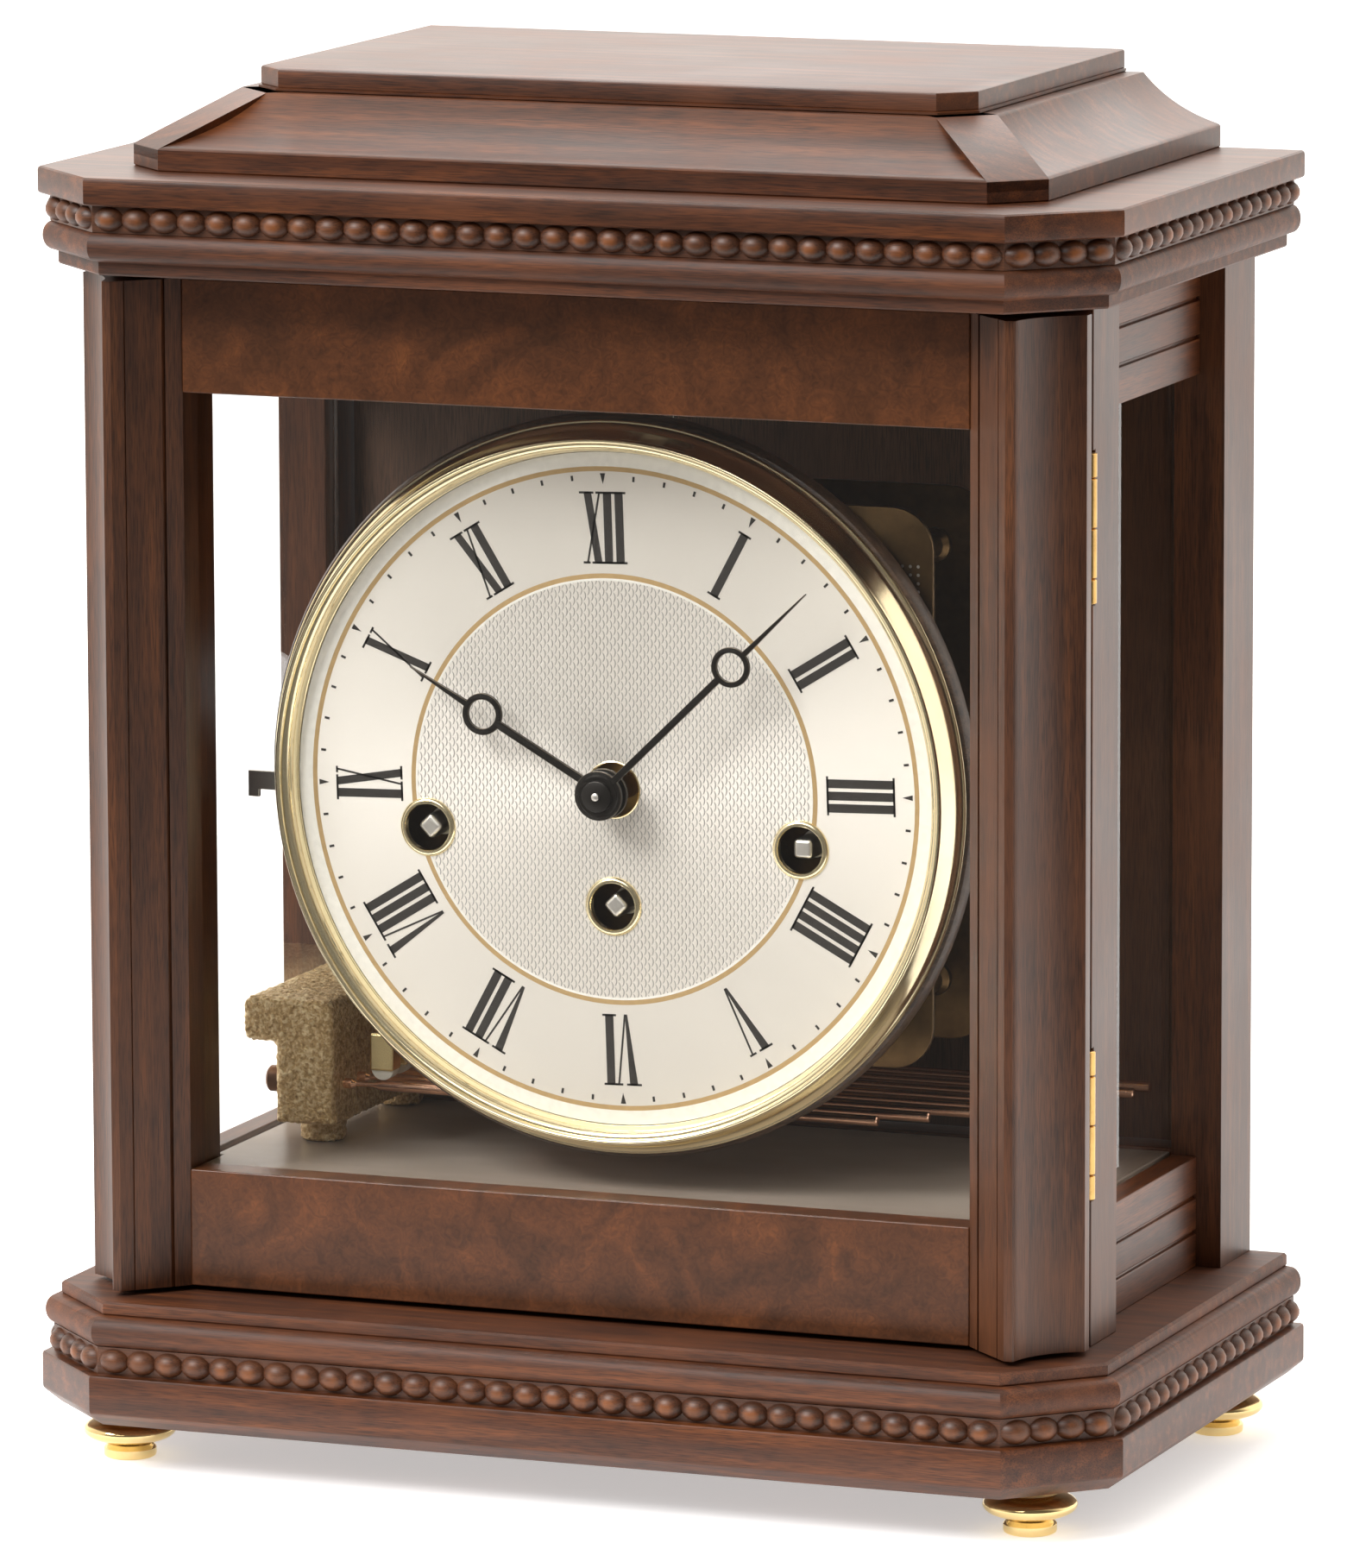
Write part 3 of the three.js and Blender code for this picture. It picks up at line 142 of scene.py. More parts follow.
def add_node(
    tree: Tree,
    kind: str,
    inputs: dict[str | int, object] | None = None,
    stops: Sequence[tuple[float, str]] = (),
    **settings: object,
) -> Node:
    """Adds one node with its settings and links.

    Args:
        tree: The material's or geometry's node tree.
        kind: The node's type name.
        inputs: What `feed` gives the new node.
        stops: Places and hex colours of a colour ramp.
        settings: Properties of the node.

    Returns:
        The new node.
    """
    node = tree.nodes.new(kind)
    for key, value in settings.items():
        setattr(node, key, value)
    feed(tree, node, inputs or {})
    if stops:
        ramp = node.color_ramp
        while len(ramp.elements) < len(stops):
            ramp.elements.new(1.0)
        for element, (place, colour) in zip(ramp.elements, stops):
            element.position, element.color = place, linear(colour)
    return node


MATHS = "ShaderNodeMath"
VECTOR = "ShaderNodeVectorMath"
NOISE = "ShaderNodeTexNoise"
RAMP = "ShaderNodeValToRGB"
RANGE = "ShaderNodeMapRange"
MIX = "ShaderNodeMix"
MIX_FACTOR, MIX_A, MIX_B, MIX_RESULT = 0, 6, 7, 2


@dataclass(frozen=True)
class Finish:
    """A finish that several pieces share. Its material is made once."""

    name: str

    def material(self) -> bpy.types.Material:
        """Makes the material, or returns it when it is there already."""
        made = bpy.data.materials.get(self.name)
        if made is not None:
            return made
        made = bpy.data.materials.new(self.name)
        made.use_nodes = True
        tree = made.node_tree
        shader = tree.nodes["Principled BSDF"]
        self.draw(tree, shader)
        return made

    def draw(self, tree: Tree, shader: Node) -> None:
        """Fills the tree. Each finish has its own."""
        raise NotImplementedError

    def places(self, tree: Tree, per_mm: Triple) -> Socket:
        """Object coordinates scaled so that one unit is one feature of the pattern.

        Args:
            tree: The material's tree.
            per_mm: Features per millimetre along x, y and z.

        Returns:
            The scaled coordinates.
        """
        coords = add_node(tree, "ShaderNodeTexCoord")
        scale = tuple(value / MM for value in per_mm)
        mapping = {"Vector": coords.outputs["Object"], "Scale": scale}
        return add_node(tree, "ShaderNodeMapping", mapping).outputs["Vector"]


@dataclass(frozen=True)
class Walnut(Finish):
    """Walnut, planed, stained reddish brown and French polished.

    The eye gets long dark streaks, fine pores along the grain, an orange glow where the
    polish is thin, and a satin film that mirrors the surroundings at a low angle. With
    `rubbed` it is the same wood on an arris, where handling has rubbed the stain through.
    On a bead the lighter colour also lies on the outward crown and the sides: wear, and a
    painted highlight.
    Real pores are about 0.15 mm wide. They are drawn `pore` mm wide so that they show.
    """

    grain: Grain = Grain.ACROSS
    dark: str = "3a1e0d"
    middle: str = "522b15"
    light: str = "723f1e"
    # Lighter colour of rubbed arrises; on beads it is also a painted highlight.
    worn_and_lit: str = "9a6038"
    rubbed: float = 0.0
    crown_wear_and_sheen: bool = False
    roughness: float = 0.38
    streak: float = 3.0
    streak_length: float = 60.0
    pore: float = 0.24
    pore_length: float = 5.0
    cloud: float = 34.0
    patch: float = 7.0
    seed: float = 0.0

    def along(self, long: float, across: float) -> Triple:
        """Features per millimetre with the long way along the grain."""
        return tuple(long if self.grain.value == axis else across for axis in "xyz")

    def draw(self, tree: Tree, shader: Node) -> None:
        """Streaks, pores, glow, wear and painted highlight, film."""
        streaks = add_node(tree, NOISE, {
            "Vector": self.places(tree, self.along(1 / self.streak_length, 1 / self.streak)),
            "W": self.seed, "Scale": 1.0, "Detail": 5.0, "Roughness": 0.62,
            "Distortion": 0.35}, noise_dimensions="4D")
        base = add_node(tree, RAMP, {"Fac": streaks}, [
            (0.3, self.dark), (0.5, self.middle), (0.68, self.light)])
        pores = add_node(tree, NOISE, {
            "Vector": self.places(tree, self.along(1 / self.pore_length, 1 / self.pore)),
            "W": self.seed, "Scale": 1.0, "Detail": 2.0}, noise_dimensions="4D")
        pore = add_node(tree, RANGE, {
            "Value": pores, "From Min": 0.36, "From Max": 0.56,
            "To Min": 0.5, "To Max": 1.1})
        pored = add_node(tree, MIX, {
            MIX_FACTOR: 1.0, MIX_A: base, MIX_B: pore},
            data_type="RGBA", blend_type="MULTIPLY")
        glow = add_node(tree, NOISE, {
            "Vector": self.places(tree, (1 / self.cloud,) * 3),
            "W": self.seed + 3, "Scale": 1.0, "Detail": 3.0}, noise_dimensions="4D")
        amount = add_node(tree, RANGE, {
            "Value": glow, "From Min": 0.5, "From Max": 0.72,
            "To Min": 0.0, "To Max": 0.55})
        colour = add_node(tree, MIX, {
            MIX_FACTOR: amount, MIX_A: pored.outputs[MIX_RESULT],
            MIX_B: linear(self.light)}, data_type="RGBA")
        wear_and_sheen = self.wear_and_sheen(tree)
        if wear_and_sheen is not None:
            colour = add_node(tree, MIX, {
                MIX_FACTOR: wear_and_sheen, MIX_A: colour.outputs[MIX_RESULT],
                MIX_B: linear(self.worn_and_lit)}, data_type="RGBA")
        feed(tree, shader, {"Base Color": colour.outputs[MIX_RESULT]})
        film = add_node(tree, RANGE, {
            "Value": glow, "To Min": self.roughness - 0.08,
            "To Max": self.roughness + 0.1})
        feed(tree, shader, {"Roughness": film})
        bump = add_node(tree, "ShaderNodeBump", {
            "Height": pores, "Strength": 0.3, "Distance": 0.06 * MM})
        feed(tree, shader, {"Normal": bump})

    def wear_and_sheen(self, tree: Tree) -> Socket | None:
        """Wear in patches; on a bead also its crown and sides, as wear and painted highlight.
        """
        if not self.rubbed:
            return None
        patches = add_node(tree, NOISE, {
            "Vector": self.places(tree, (1 / self.patch,) * 3),
            "Scale": 1.0, "Detail": 4.0})
        patch = add_node(tree, RANGE, {
            "Value": patches, "From Min": 0.4, "From Max": 0.62,
            "To Min": 0.25 * self.rubbed, "To Max": self.rubbed})
        if not self.crown_wear_and_sheen:
            return patch.outputs[0]
        # The outward crown and the sides of a bead get the lighter colour: wear, and a painted
        # highlight.
        crown = add_node(tree, "ShaderNodeAttribute", attribute_name="crown")
        top = add_node(tree, RAMP, {"Fac": crown.outputs["Fac"]}, [
            (0.0, "404040"), (0.14, "b0b0b0"), (0.4, "000000"), (0.8, "000000"),
            (1.0, "e4e4e4")])
        product = add_node(tree, MATHS, {0: patch, 1: top},
                           operation="MULTIPLY")
        return product.outputs[0]


@dataclass(frozen=True)
class BurlVeneer(Finish):
    """Walnut burl, knife-cut veneer under polish.

    The eye gets cloudy brown and orange patches with small curled eyes and dark specks.
    """

    cloud: float = 15.0
    curl: float = 2.4

    def draw(self, tree: Tree, shader: Node) -> None:
        """Clouds, curls and specks."""
        clouds = add_node(tree, NOISE, {
            "Vector": self.places(tree, (1 / self.cloud,) * 3),
            "Scale": 1.0, "Detail": 6.0, "Roughness": 0.6, "Distortion": 1.3})
        base = add_node(tree, RAMP, {"Fac": clouds}, [
            (0.25, "44250f"), (0.46, "542f17"), (0.62, "63381c"), (0.78, "7a4723")])
        curls = add_node(tree, NOISE, {
            "Vector": self.places(tree, (1 / self.curl,) * 3),
            "Scale": 1.0, "Detail": 4.0, "Distortion": 2.4})
        shade = add_node(tree, RANGE, {
            "Value": curls, "From Min": 0.3, "From Max": 0.66,
            "To Min": 0.7, "To Max": 1.15})
        veneer = add_node(tree, MIX, {
            MIX_FACTOR: 1.0, MIX_A: base, MIX_B: shade},
            data_type="RGBA", blend_type="MULTIPLY")
        feed(tree, shader, {"Base Color": veneer.outputs[MIX_RESULT]})
        shader.inputs["Roughness"].default_value = 0.34
        bump = add_node(tree, "ShaderNodeBump", {
            "Height": curls, "Strength": 0.06, "Distance": 0.05 * MM})
        feed(tree, shader, {"Normal": bump})


@dataclass(frozen=True)
class FloorLacquer(Finish):
    """Wood board under thick grey-brown lacquer, flatted and buffed.

    The eye gets a grey-brown sheet that mirrors the movement softly.
    """

    haze: Triple = (40.0, 25.0, 25.0)

    def draw(self, tree: Tree, shader: Node) -> None:
        """A nearly even colour with faint cloudy polish."""
        haze = add_node(tree, NOISE, {
            "Vector": self.places(tree, tuple(1 / size for size in self.haze)),
            "Scale": 1.0, "Detail": 3.0})
        base = add_node(tree, RAMP, {"Fac": haze}, [
            (0.3, "a3978c"), (0.7, "b1a59a")])
        feed(tree, shader, {"Base Color": base})
        polish = add_node(tree, RANGE, {
            "Value": haze, "To Min": 0.14, "To Max": 0.26})
        feed(tree, shader, {"Roughness": polish})
        shader.inputs["IOR"].default_value = 1.22


@dataclass(frozen=True)
class Metal(Finish):
    """A bare metal, polished, brushed or aged.

    The eye gets the metal's own colour in every reflection, with a little tarnish in
    patches and the fine scratches that the last abrasive left. Real scratches are about
    0.02 mm wide. They are drawn `scratch_mm` wide so that they show.
    """

    colour: str = "e0bd76"
    tarnish: str = "8a6a35"
    stained: float = 0.15
    roughness: float = 0.16
    scratch_mm: float = 0.35
    scratches: float = 0.04
    patch_mm: float = 6.0

    def draw(self, tree: Tree, shader: Node) -> None:
        """Tarnish patches and scratches."""
        patches = add_node(tree, NOISE, {
            "Vector": self.places(tree, (1 / self.patch_mm,) * 3),
            "Scale": 1.0, "Detail": 5.0, "Roughness": 0.6})
        amount = add_node(tree, RANGE, {
            "Value": patches, "From Min": 0.42, "From Max": 0.75,
            "To Min": 0.0, "To Max": self.stained})
        colour = add_node(tree, MIX, {
            MIX_FACTOR: amount, MIX_A: linear(self.colour),
            MIX_B: linear(self.tarnish)}, data_type="RGBA")
        feed(tree, shader, {"Base Color": colour.outputs[MIX_RESULT]})
        shader.inputs["Metallic"].default_value = 1.0
        rough = add_node(tree, RANGE, {
            "Value": patches, "To Min": self.roughness * 0.7,
            "To Max": self.roughness * 1.4})
        feed(tree, shader, {"Roughness": rough})
        lines = add_node(tree, NOISE, {
            "Vector": self.places(tree, (1 / self.scratch_mm,) * 3),
            "Scale": 1.0, "Detail": 2.0})
        bump = add_node(tree, "ShaderNodeBump", {
            "Height": lines, "Strength": self.scratches,
            "Distance": 0.1 * MM})
        feed(tree, shader, {"Normal": bump})


@dataclass(frozen=True)
class CastBronze(Finish):
    """Bronze-painted iron, sand cast and left rough.

    The eye gets pale gold grains with brown pits between them.
    """

    grain: float = 0.9
    relief: float = 0.9

    def draw(self, tree: Tree, shader: Node) -> None:
        """Grains, pits and a few bright specks."""
        grains = add_node(tree, NOISE, {
            "Vector": self.places(tree, (1 / self.grain,) * 3),
            "Scale": 1.0, "Detail": 4.0, "Roughness": 0.6})
        base = add_node(tree, RAMP, {"Fac": grains}, [
            (0.3, "a8875a"), (0.46, "d4b27c"), (0.62, "fbe6b8")])
        feed(tree, shader, {"Base Color": base})
        shader.inputs["Metallic"].default_value = 0.65
        rough = add_node(tree, RANGE, {
            "Value": grains, "To Min": 0.5, "To Max": 0.28})
        feed(tree, shader, {"Roughness": rough})
        bump = add_node(tree, "ShaderNodeBump", {
            "Height": grains, "Strength": 1.0, "Distance": self.relief * MM})
        feed(tree, shader, {"Normal": bump})


@dataclass(frozen=True)
class Silvering(Finish):
    """Silvered brass, grained in circles about the middle and lacquered.

    The eye gets a warm white that runs round the dial in soft bright and dull sectors.
    """

    centre: Point = (0.0, 0.0)
    colour: str = "efe9e0"
    metallic: float = 0.3
    scales: bool = False
    column: float = 0.82
    arc_height: float = 2.3

    def draw(self, tree: Tree, shader: Node) -> None:
        """Circular grain, and engine-turned scales on the middle."""
        coords = add_node(tree, "ShaderNodeTexCoord")
        x, z = self.centre
        local = add_node(tree, VECTOR, {
            0: coords.outputs["Object"], 1: (x * MM, 0.0, z * MM)}, operation="SUBTRACT")
        tangent = add_node(tree, VECTOR, {0: local, 1: (0.0, 1.0, 0.0)},
                           operation="CROSS_PRODUCT")
        unit = add_node(tree, VECTOR, {0: tangent}, operation="NORMALIZE")
        feed(tree, shader, {"Tangent": unit})
        cloud = add_node(tree, NOISE, {
            "Vector": self.places(tree, (1 / 30,) * 3), "Scale": 1.0, "Detail": 3.0})
        tone = add_node(tree, RANGE, {
            "Value": cloud, "To Min": 0.93, "To Max": 1.03})
        colour = add_node(tree, MIX, {
            MIX_FACTOR: 1.0, MIX_A: linear(self.colour), MIX_B: tone},
            data_type="RGBA", blend_type="MULTIPLY")
        shader.inputs["Metallic"].default_value = self.metallic
        shader.inputs["Roughness"].default_value = 0.42
        shader.inputs["Anisotropic"].default_value = 0.75
        if self.scales:
            colour = self.engine_turning(tree, shader, local, colour)
        feed(tree, shader, {"Base Color": colour.outputs[MIX_RESULT]})

    def engine_turning(
        self,
        tree: Tree,
        shader: Node,
        local: Node,
        colour: Node,
    ) -> Node:
        """Staggered columns of small upright arcs.

        Args:
            tree: The material's tree.
            shader: Its shader, which gets the relief.
            local: Places from the dial's middle.
            colour: The plain silver's colour.

        Returns:
            The node that gives the shaded colour.
        """
        split = add_node(tree, "ShaderNodeSeparateXYZ", {0: local})
        across = add_node(tree, MATHS, {0: split, 1: self.column * MM},
                          operation="DIVIDE")
        column = add_node(tree, MATHS, {0: across}, operation="FLOOR")
        odd = add_node(tree, MATHS, {0: column, 1: 2.0},
                       operation="FLOORED_MODULO")
        up = add_node(tree, MATHS, {0: split.outputs[2], 1: self.arc_height * MM},
                      operation="DIVIDE")
        staggered = add_node(tree, MATHS, {0: odd, 1: 0.5, 2: up},
                             operation="MULTIPLY_ADD")
        u = add_node(tree, MATHS, {0: across}, operation="FRACT")
        v = add_node(tree, MATHS, {0: staggered}, operation="FRACT")
        off = add_node(tree, MATHS, {0: v, 1: 2.0, 2: -1.0},
                       operation="MULTIPLY_ADD")
        end = add_node(tree, MATHS, {0: off, 1: off},
                       operation="MULTIPLY")
        arch = add_node(tree, MATHS, {0: end, 1: -0.6, 2: 0.8},
                        operation="MULTIPLY_ADD")
        beside = add_node(tree, MATHS, {0: u, 1: arch},
                          operation="SUBTRACT")
        away = add_node(tree, MATHS, {0: beside}, operation="ABSOLUTE")
        line = add_node(tree, RANGE, {
            "Value": away, "From Min": 0.04, "From Max": 0.24},
            interpolation_type="SMOOTHSTEP")
        faded = add_node(tree, RANGE, {
            "Value": end, "From Min": 0.3, "From Max": 1.0})
        relief = add_node(tree, MATHS, {0: line, 1: faded},
                          operation="MAXIMUM")
        bump = add_node(tree, "ShaderNodeBump", {
            "Height": relief, "Strength": 0.5, "Distance": 0.12 * MM})
        feed(tree, shader, {"Normal": bump})
        shade = add_node(tree, RANGE, {
            "Value": relief, "To Min": 0.45, "To Max": 1.04})
        return add_node(tree, MIX, {
            MIX_FACTOR: 1.0, MIX_A: colour.outputs[MIX_RESULT], MIX_B: shade},
            data_type="RGBA", blend_type="MULTIPLY")


@dataclass(frozen=True)
class Paint(Finish):
    """Printing ink, enamel or nylon: one colour with a faint mottle in its film."""

    colour: str = "3a3632"
    roughness: float = 0.4
    metallic: float = 0.0
    mottle_mm: float = 1.5
    glow: float = 0.0

    def draw(self, tree: Tree, shader: Node) -> None:
        """The colour, and a film that varies a little in gloss."""
        film = add_node(tree, NOISE, {
            "Vector": self.places(tree, (1 / self.mottle_mm,) * 3),
            "Scale": 1.0, "Detail": 3.0})
        tone = add_node(tree, RANGE, {
            "Value": film, "To Min": 0.86, "To Max": 1.12})
        colour = add_node(tree, MIX, {
            MIX_FACTOR: 1.0, MIX_A: linear(self.colour), MIX_B: tone},
            data_type="RGBA", blend_type="MULTIPLY")
        feed(tree, shader, {"Base Color": colour.outputs[MIX_RESULT]})
        rough = add_node(tree, RANGE, {
            "Value": film, "To Min": self.roughness * 0.8,
            "To Max": self.roughness * 1.2})
        feed(tree, shader, {"Roughness": rough})
        shader.inputs["Metallic"].default_value = self.metallic
        shader.inputs["Emission Strength"].default_value = self.glow


@dataclass(frozen=True)
class Pane(Finish):
    """Float glass, 3 mm, ground edges. It lets the lamps through to the movement."""

    def draw(self, tree: Tree, shader: Node) -> None:
        """Clear glass for the eye, open for shadow and diffuse rays."""
        shader.inputs["Base Color"].default_value = linear("ffffff")
        shader.inputs["Transmission Weight"].default_value = 1.0
        shader.inputs["IOR"].default_value = 1.5
        shader.inputs["Roughness"].default_value = 0.0
        clear = add_node(tree, "ShaderNodeBsdfTransparent", {"Color": linear("fffffd")})
        path = add_node(tree, "ShaderNodeLightPath")
        either = add_node(tree, MATHS, {
            0: path.outputs["Is Shadow Ray"], 1: path.outputs["Is Diffuse Ray"]},
            operation="MAXIMUM")
        both = add_node(tree, "ShaderNodeMixShader", {
            0: either, 1: shader, 2: clear})
        tree.links.new(both.outputs[0], tree.nodes["Material Output"].inputs[0])


ACROSS = Walnut("walnut_polished_across")
DEEP = Walnut("walnut_polished_deep", Grain.DEEP, seed=2.0)
UPRIGHT = Walnut("walnut_polished_upright", Grain.UPRIGHT, seed=4.0, dark="3b2113",
                 middle="4e2d1a", light="653b20")
# Matt walnut of the rear door, made lighter and greyer: painted light from the side glass.
REAR_LIT_WALNUT = Walnut("walnut_inside_matt", Grain.UPRIGHT, seed=6.0, dark="46301f",
                middle="563c2a", light="654936", roughness=0.5, streak=9.0)
ARRIS = Walnut("walnut_rubbed_arris", rubbed=0.75, seed=1.0)
# Beads are lighter on their outward crowns and sides: wear, and a painted highlight.
BEADS = Walnut("walnut_turned_beads", dark="38200f", middle="4e2b18", light="633a20",
               worn_and_lit="a8622e", rubbed=0.7, crown_wear_and_sheen=True, roughness=0.44, seed=5.0)
DARK_WALNUT = Walnut("walnut_dark_ring", dark="3a2a20", middle="54402f",
                     light="6a5140", roughness=0.34, seed=7.0)
MOULDED = Walnut("walnut_moulded_edge", roughness=0.56, seed=8.0)
# Brighter orange walnut for the base board's top flat: painted light from above.
TOP_LIT_WALNUT = Walnut("walnut_polished_flat", dark="5a2c12", middle="7c3f1a", light="9a5424",
                 seed=9.0)
BURL = BurlVeneer("walnut_burl_veneer")
LACQUER = FloorLacquer("lacquered_floor_board")
FOOT_BRASS = Metal("brass_turned_polished", colour="efd59a", roughness=0.12)
HINGE_BRASS = Metal("brass_drawn_hinge", colour="cfa868", stained=0.4, roughness=0.24)
BEZEL_BRASS = Metal("brass_spun_lacquered", colour="fff1c8", tarnish="e6c88c",
                    stained=0.12, roughness=0.17, scratches=0.015)
PLATE_BRASS = Metal("brass_plate_edge", colour="d0a862", tarnish="80602f", stained=0.5,
                    roughness=0.28, scratches=0.1)
# Dark brass of the movement's plates and pillars: painted shade inside the case, with tarnish
# patches.
SHADED_BRASS = Metal("brass_plate_aged", colour="5f4a30", tarnish="3a2c1c", stained=0.6,
                   roughness=0.36, scratches=0.12)
HAMMER_BRASS = Metal("brass_hammer_polished", colour="fbe3a6", roughness=0.2)
COPPER = Metal("copper_plated_rod", colour="f2c2a4", tarnish="b87f5e", roughness=0.22)
PLUG_COPPER = Metal("copper_brown_plug", colour="94725c", tarnish="54382a", roughness=0.4)
STEEL = Metal("steel_bright", colour="dcd8d0", tarnish="8d877f", roughness=0.34)
BRONZE = CastBronze("bronze_sand_cast")
BLACKED = Paint("steel_blacked", colour="24211e", roughness=0.32, metallic=0.6)
HAND_EDGE = Metal("hand_worn_edge", colour="6e6457", tarnish="3a342d", roughness=0.34)
INK = Paint("dial_ink_black", colour="2b2723", roughness=0.5)
GOLD_INK = Paint("dial_ink_gold", colour="c2a373", roughness=0.42, metallic=0.25)
WHITE_INK = Paint("dial_ink_white", colour="f4f1ea", roughness=0.45)
NYLON = Paint("nylon_moulded_tip", colour="e6e2d6", roughness=0.35)
GLASS = Pane("glass_float_pane")


# ------------------------------------------------------------------ mesh making
@dataclass(frozen=True)
class Span:
    """Box of a CAD node in millimetres."""

    x0: float
    y0: float
    z0: float
    x1: float
    y1: float
    z1: float

    @classmethod
    def of(cls, node: str) -> "Span":
        """The box of one node of the frame."""
        low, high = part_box(node)
        return cls(*(v / MM for v in (*low, *high)))

    @property
    def middle(self) -> Triple:
        """The box's middle point."""
        return ((self.x0 + self.x1) / 2, (self.y0 + self.y1) / 2, (self.z0 + self.z1) / 2)


def link(name: str, mesh: bpy.types.Mesh) -> Piece:
    """Puts a mesh in the scene as an object at the origin."""
    piece = bpy.data.objects.new(name, mesh)
    bpy.context.scene.collection.objects.link(piece)
    return piece


def smoothed(mesh: bpy.types.Mesh, angle: float = SHARP_ANGLE) -> None:
    """Shades a mesh smooth, with its true corners sharp."""
    mesh.shade_smooth()
    mesh.set_sharp_from_angle(angle=angle)


def from_bmesh(name: str, body: bmesh.types.BMesh, scaled: bool = True) -> Piece:
    """Makes an object of a bmesh drawn in millimetres.

    Args:
        name: The piece's name.
        body: The bmesh, which is freed.
        scaled: Whether the places are millimetres and not metres yet.

    Returns:
        The object.
    """
    if scaled:
        bmesh.ops.scale(body, vec=(MM, MM, MM), verts=body.verts)
    mesh = bpy.data.meshes.new(name)
    body.to_mesh(mesh)
    body.free()
    smoothed(mesh)
    return link(name, mesh)


def joined(name: str, *pieces: Piece) -> Piece:
    """Joins several objects into one, with the materials of all."""
    body = bmesh.new()
    materials: list[bpy.types.Material] = []
    for piece in pieces:
        first = len(body.faces)
        body.from_mesh(piece.data)
        body.faces.ensure_lookup_table()
        for face in body.faces[first:]:
            own = piece.data.materials
            kind = own[min(face.material_index, len(own) - 1)] if own else None
            if kind not in materials:
                materials.append(kind)
            face.material_index = materials.index(kind)
        bpy.data.objects.remove(piece)
    whole = from_bmesh(name, body, scaled=False)
    for kind in materials:
        whole.data.materials.append(kind)
    return whole


def circle(x: float, y: float, radius: float, sides: int = SMALL_SIDES) -> Loop:
    """A closed round of points in the plane of a plate."""
    turn = 2 * math.pi / sides
    return [(x + radius * math.cos(turn * i), y + radius * math.sin(turn * i))
            for i in range(sides)]


def arc(centre: Point, radius: float, start: float, end: float, steps: int) -> Loop:
    """Points of an arc between two angles in degrees."""
    angles = [math.radians(start + (end - start) * i / steps) for i in range(steps + 1)]
    return [(centre[0] + radius * math.cos(a), centre[1] + radius * math.sin(a))
            for a in angles]


def turned(
    name: str,
    profile: Sequence[Point],
    place: Triple,
    turning: Turning,
    sides: int = ROUND_SIDES,
) -> Piece:
    """Turns a profile about an axis.

    Args:
        name: The piece's name.
        profile: Closed run of (radius, place along the axis) points. A run that starts
            and ends on the axis, or that closes on itself, makes a closed body.
        place: A point of the axis; its value along the axis is added to the profile.
        turning: The axis.
        sides: Number of faces round.

    Returns:
        The turned object.
    """
    body = bmesh.new()
    rings = []
    for radius, along in profile:
        if radius < 1e-6:
            rings.append([body.verts.new((0.0, 0.0, along))] * sides)
            continue
        rings.append([body.verts.new((x, y, along)) for x, y in circle(0, 0, radius, sides)])
    pairs = list(zip(rings, rings[1:]))
    if profile[0][0] > 1e-6:
        pairs.append((rings[-1], rings[0]))
    for low, high in pairs:
        for i in range(sides):
            corners = (low[i - 1], low[i], high[i], high[i - 1])
            corner_set = list(dict.fromkeys(corners))
            if len(corner_set) > 2:
                body.faces.new(corner_set)
    bmesh.ops.remove_doubles(body, verts=body.verts, dist=1e-5)
    bmesh.ops.recalc_face_normals(body, faces=body.faces)
    tilt = {
        Turning.STANDING: Matrix.Identity(3),
        Turning.FACING: Matrix(((1, 0, 0), (0, 0, 1), (0, -1, 0))),
        Turning.LYING: Matrix(((0, 0, 1), (0, 1, 0), (-1, 0, 0))),
    }[turning]
    bmesh.ops.transform(body, matrix=Matrix.Translation(place) @ tilt.to_4x4(),
                        verts=body.verts)
    return from_bmesh(name, body)


def ring_profile(points: Sequence[Point]) -> list[Point]:
    """A profile that starts and ends on the axis, from its outer points."""
    return [(0.0, points[0][1]), *points, (0.0, points[-1][1])]


def plate(
    name: str,
    outer: Loop,
    holes: Iterable[Loop],
    y0: float,
    y1: float,
    bevel: float = 0.0,
) -> Piece:
    """A flat plate that faces the front, from outlines of x and z.

    Args:
        name: The piece's name.
        outer: The outline.
        holes: Outlines cut through.
        y0: Front face.
        y1: Back face.
        bevel: Width of the eased edge.

    Returns:
        The plate as a mesh object.
    """
    curve = bpy.data.curves.new(name, "CURVE")
    curve.dimensions = "2D"
    curve.fill_mode = "BOTH"
    for loop in (outer, *holes):
        spline = curve.splines.new("POLY")
        spline.points.add(len(loop) - 1)
        for point, (x, z) in zip(spline.points, loop):
            point.co = (x, z, 0.0, 1.0)
        spline.use_cyclic_u = True
    curve.extrude = (y1 - y0) / 2 - bevel
    curve.bevel_depth = bevel
    curve.offset = -bevel
    curve.bevel_resolution = 1
    drawn = bpy.data.objects.new(name, curve)
    bpy.context.scene.collection.objects.link(drawn)
    view = bpy.context.evaluated_depsgraph_get()
    mesh = bpy.data.meshes.new_from_object(drawn.evaluated_get(view))
    bpy.data.objects.remove(drawn)
    body = bmesh.new()
    body.from_mesh(mesh)
    bmesh.ops.remove_doubles(body, verts=body.verts, dist=1e-5)
    bmesh.ops.recalc_face_normals(body, faces=body.faces)
    bmesh.ops.transform(
        body, matrix=Matrix.Translation((0, (y0 + y1) / 2, 0)) @ STOOD_UP, verts=body.verts)
    return from_bmesh(name, body)


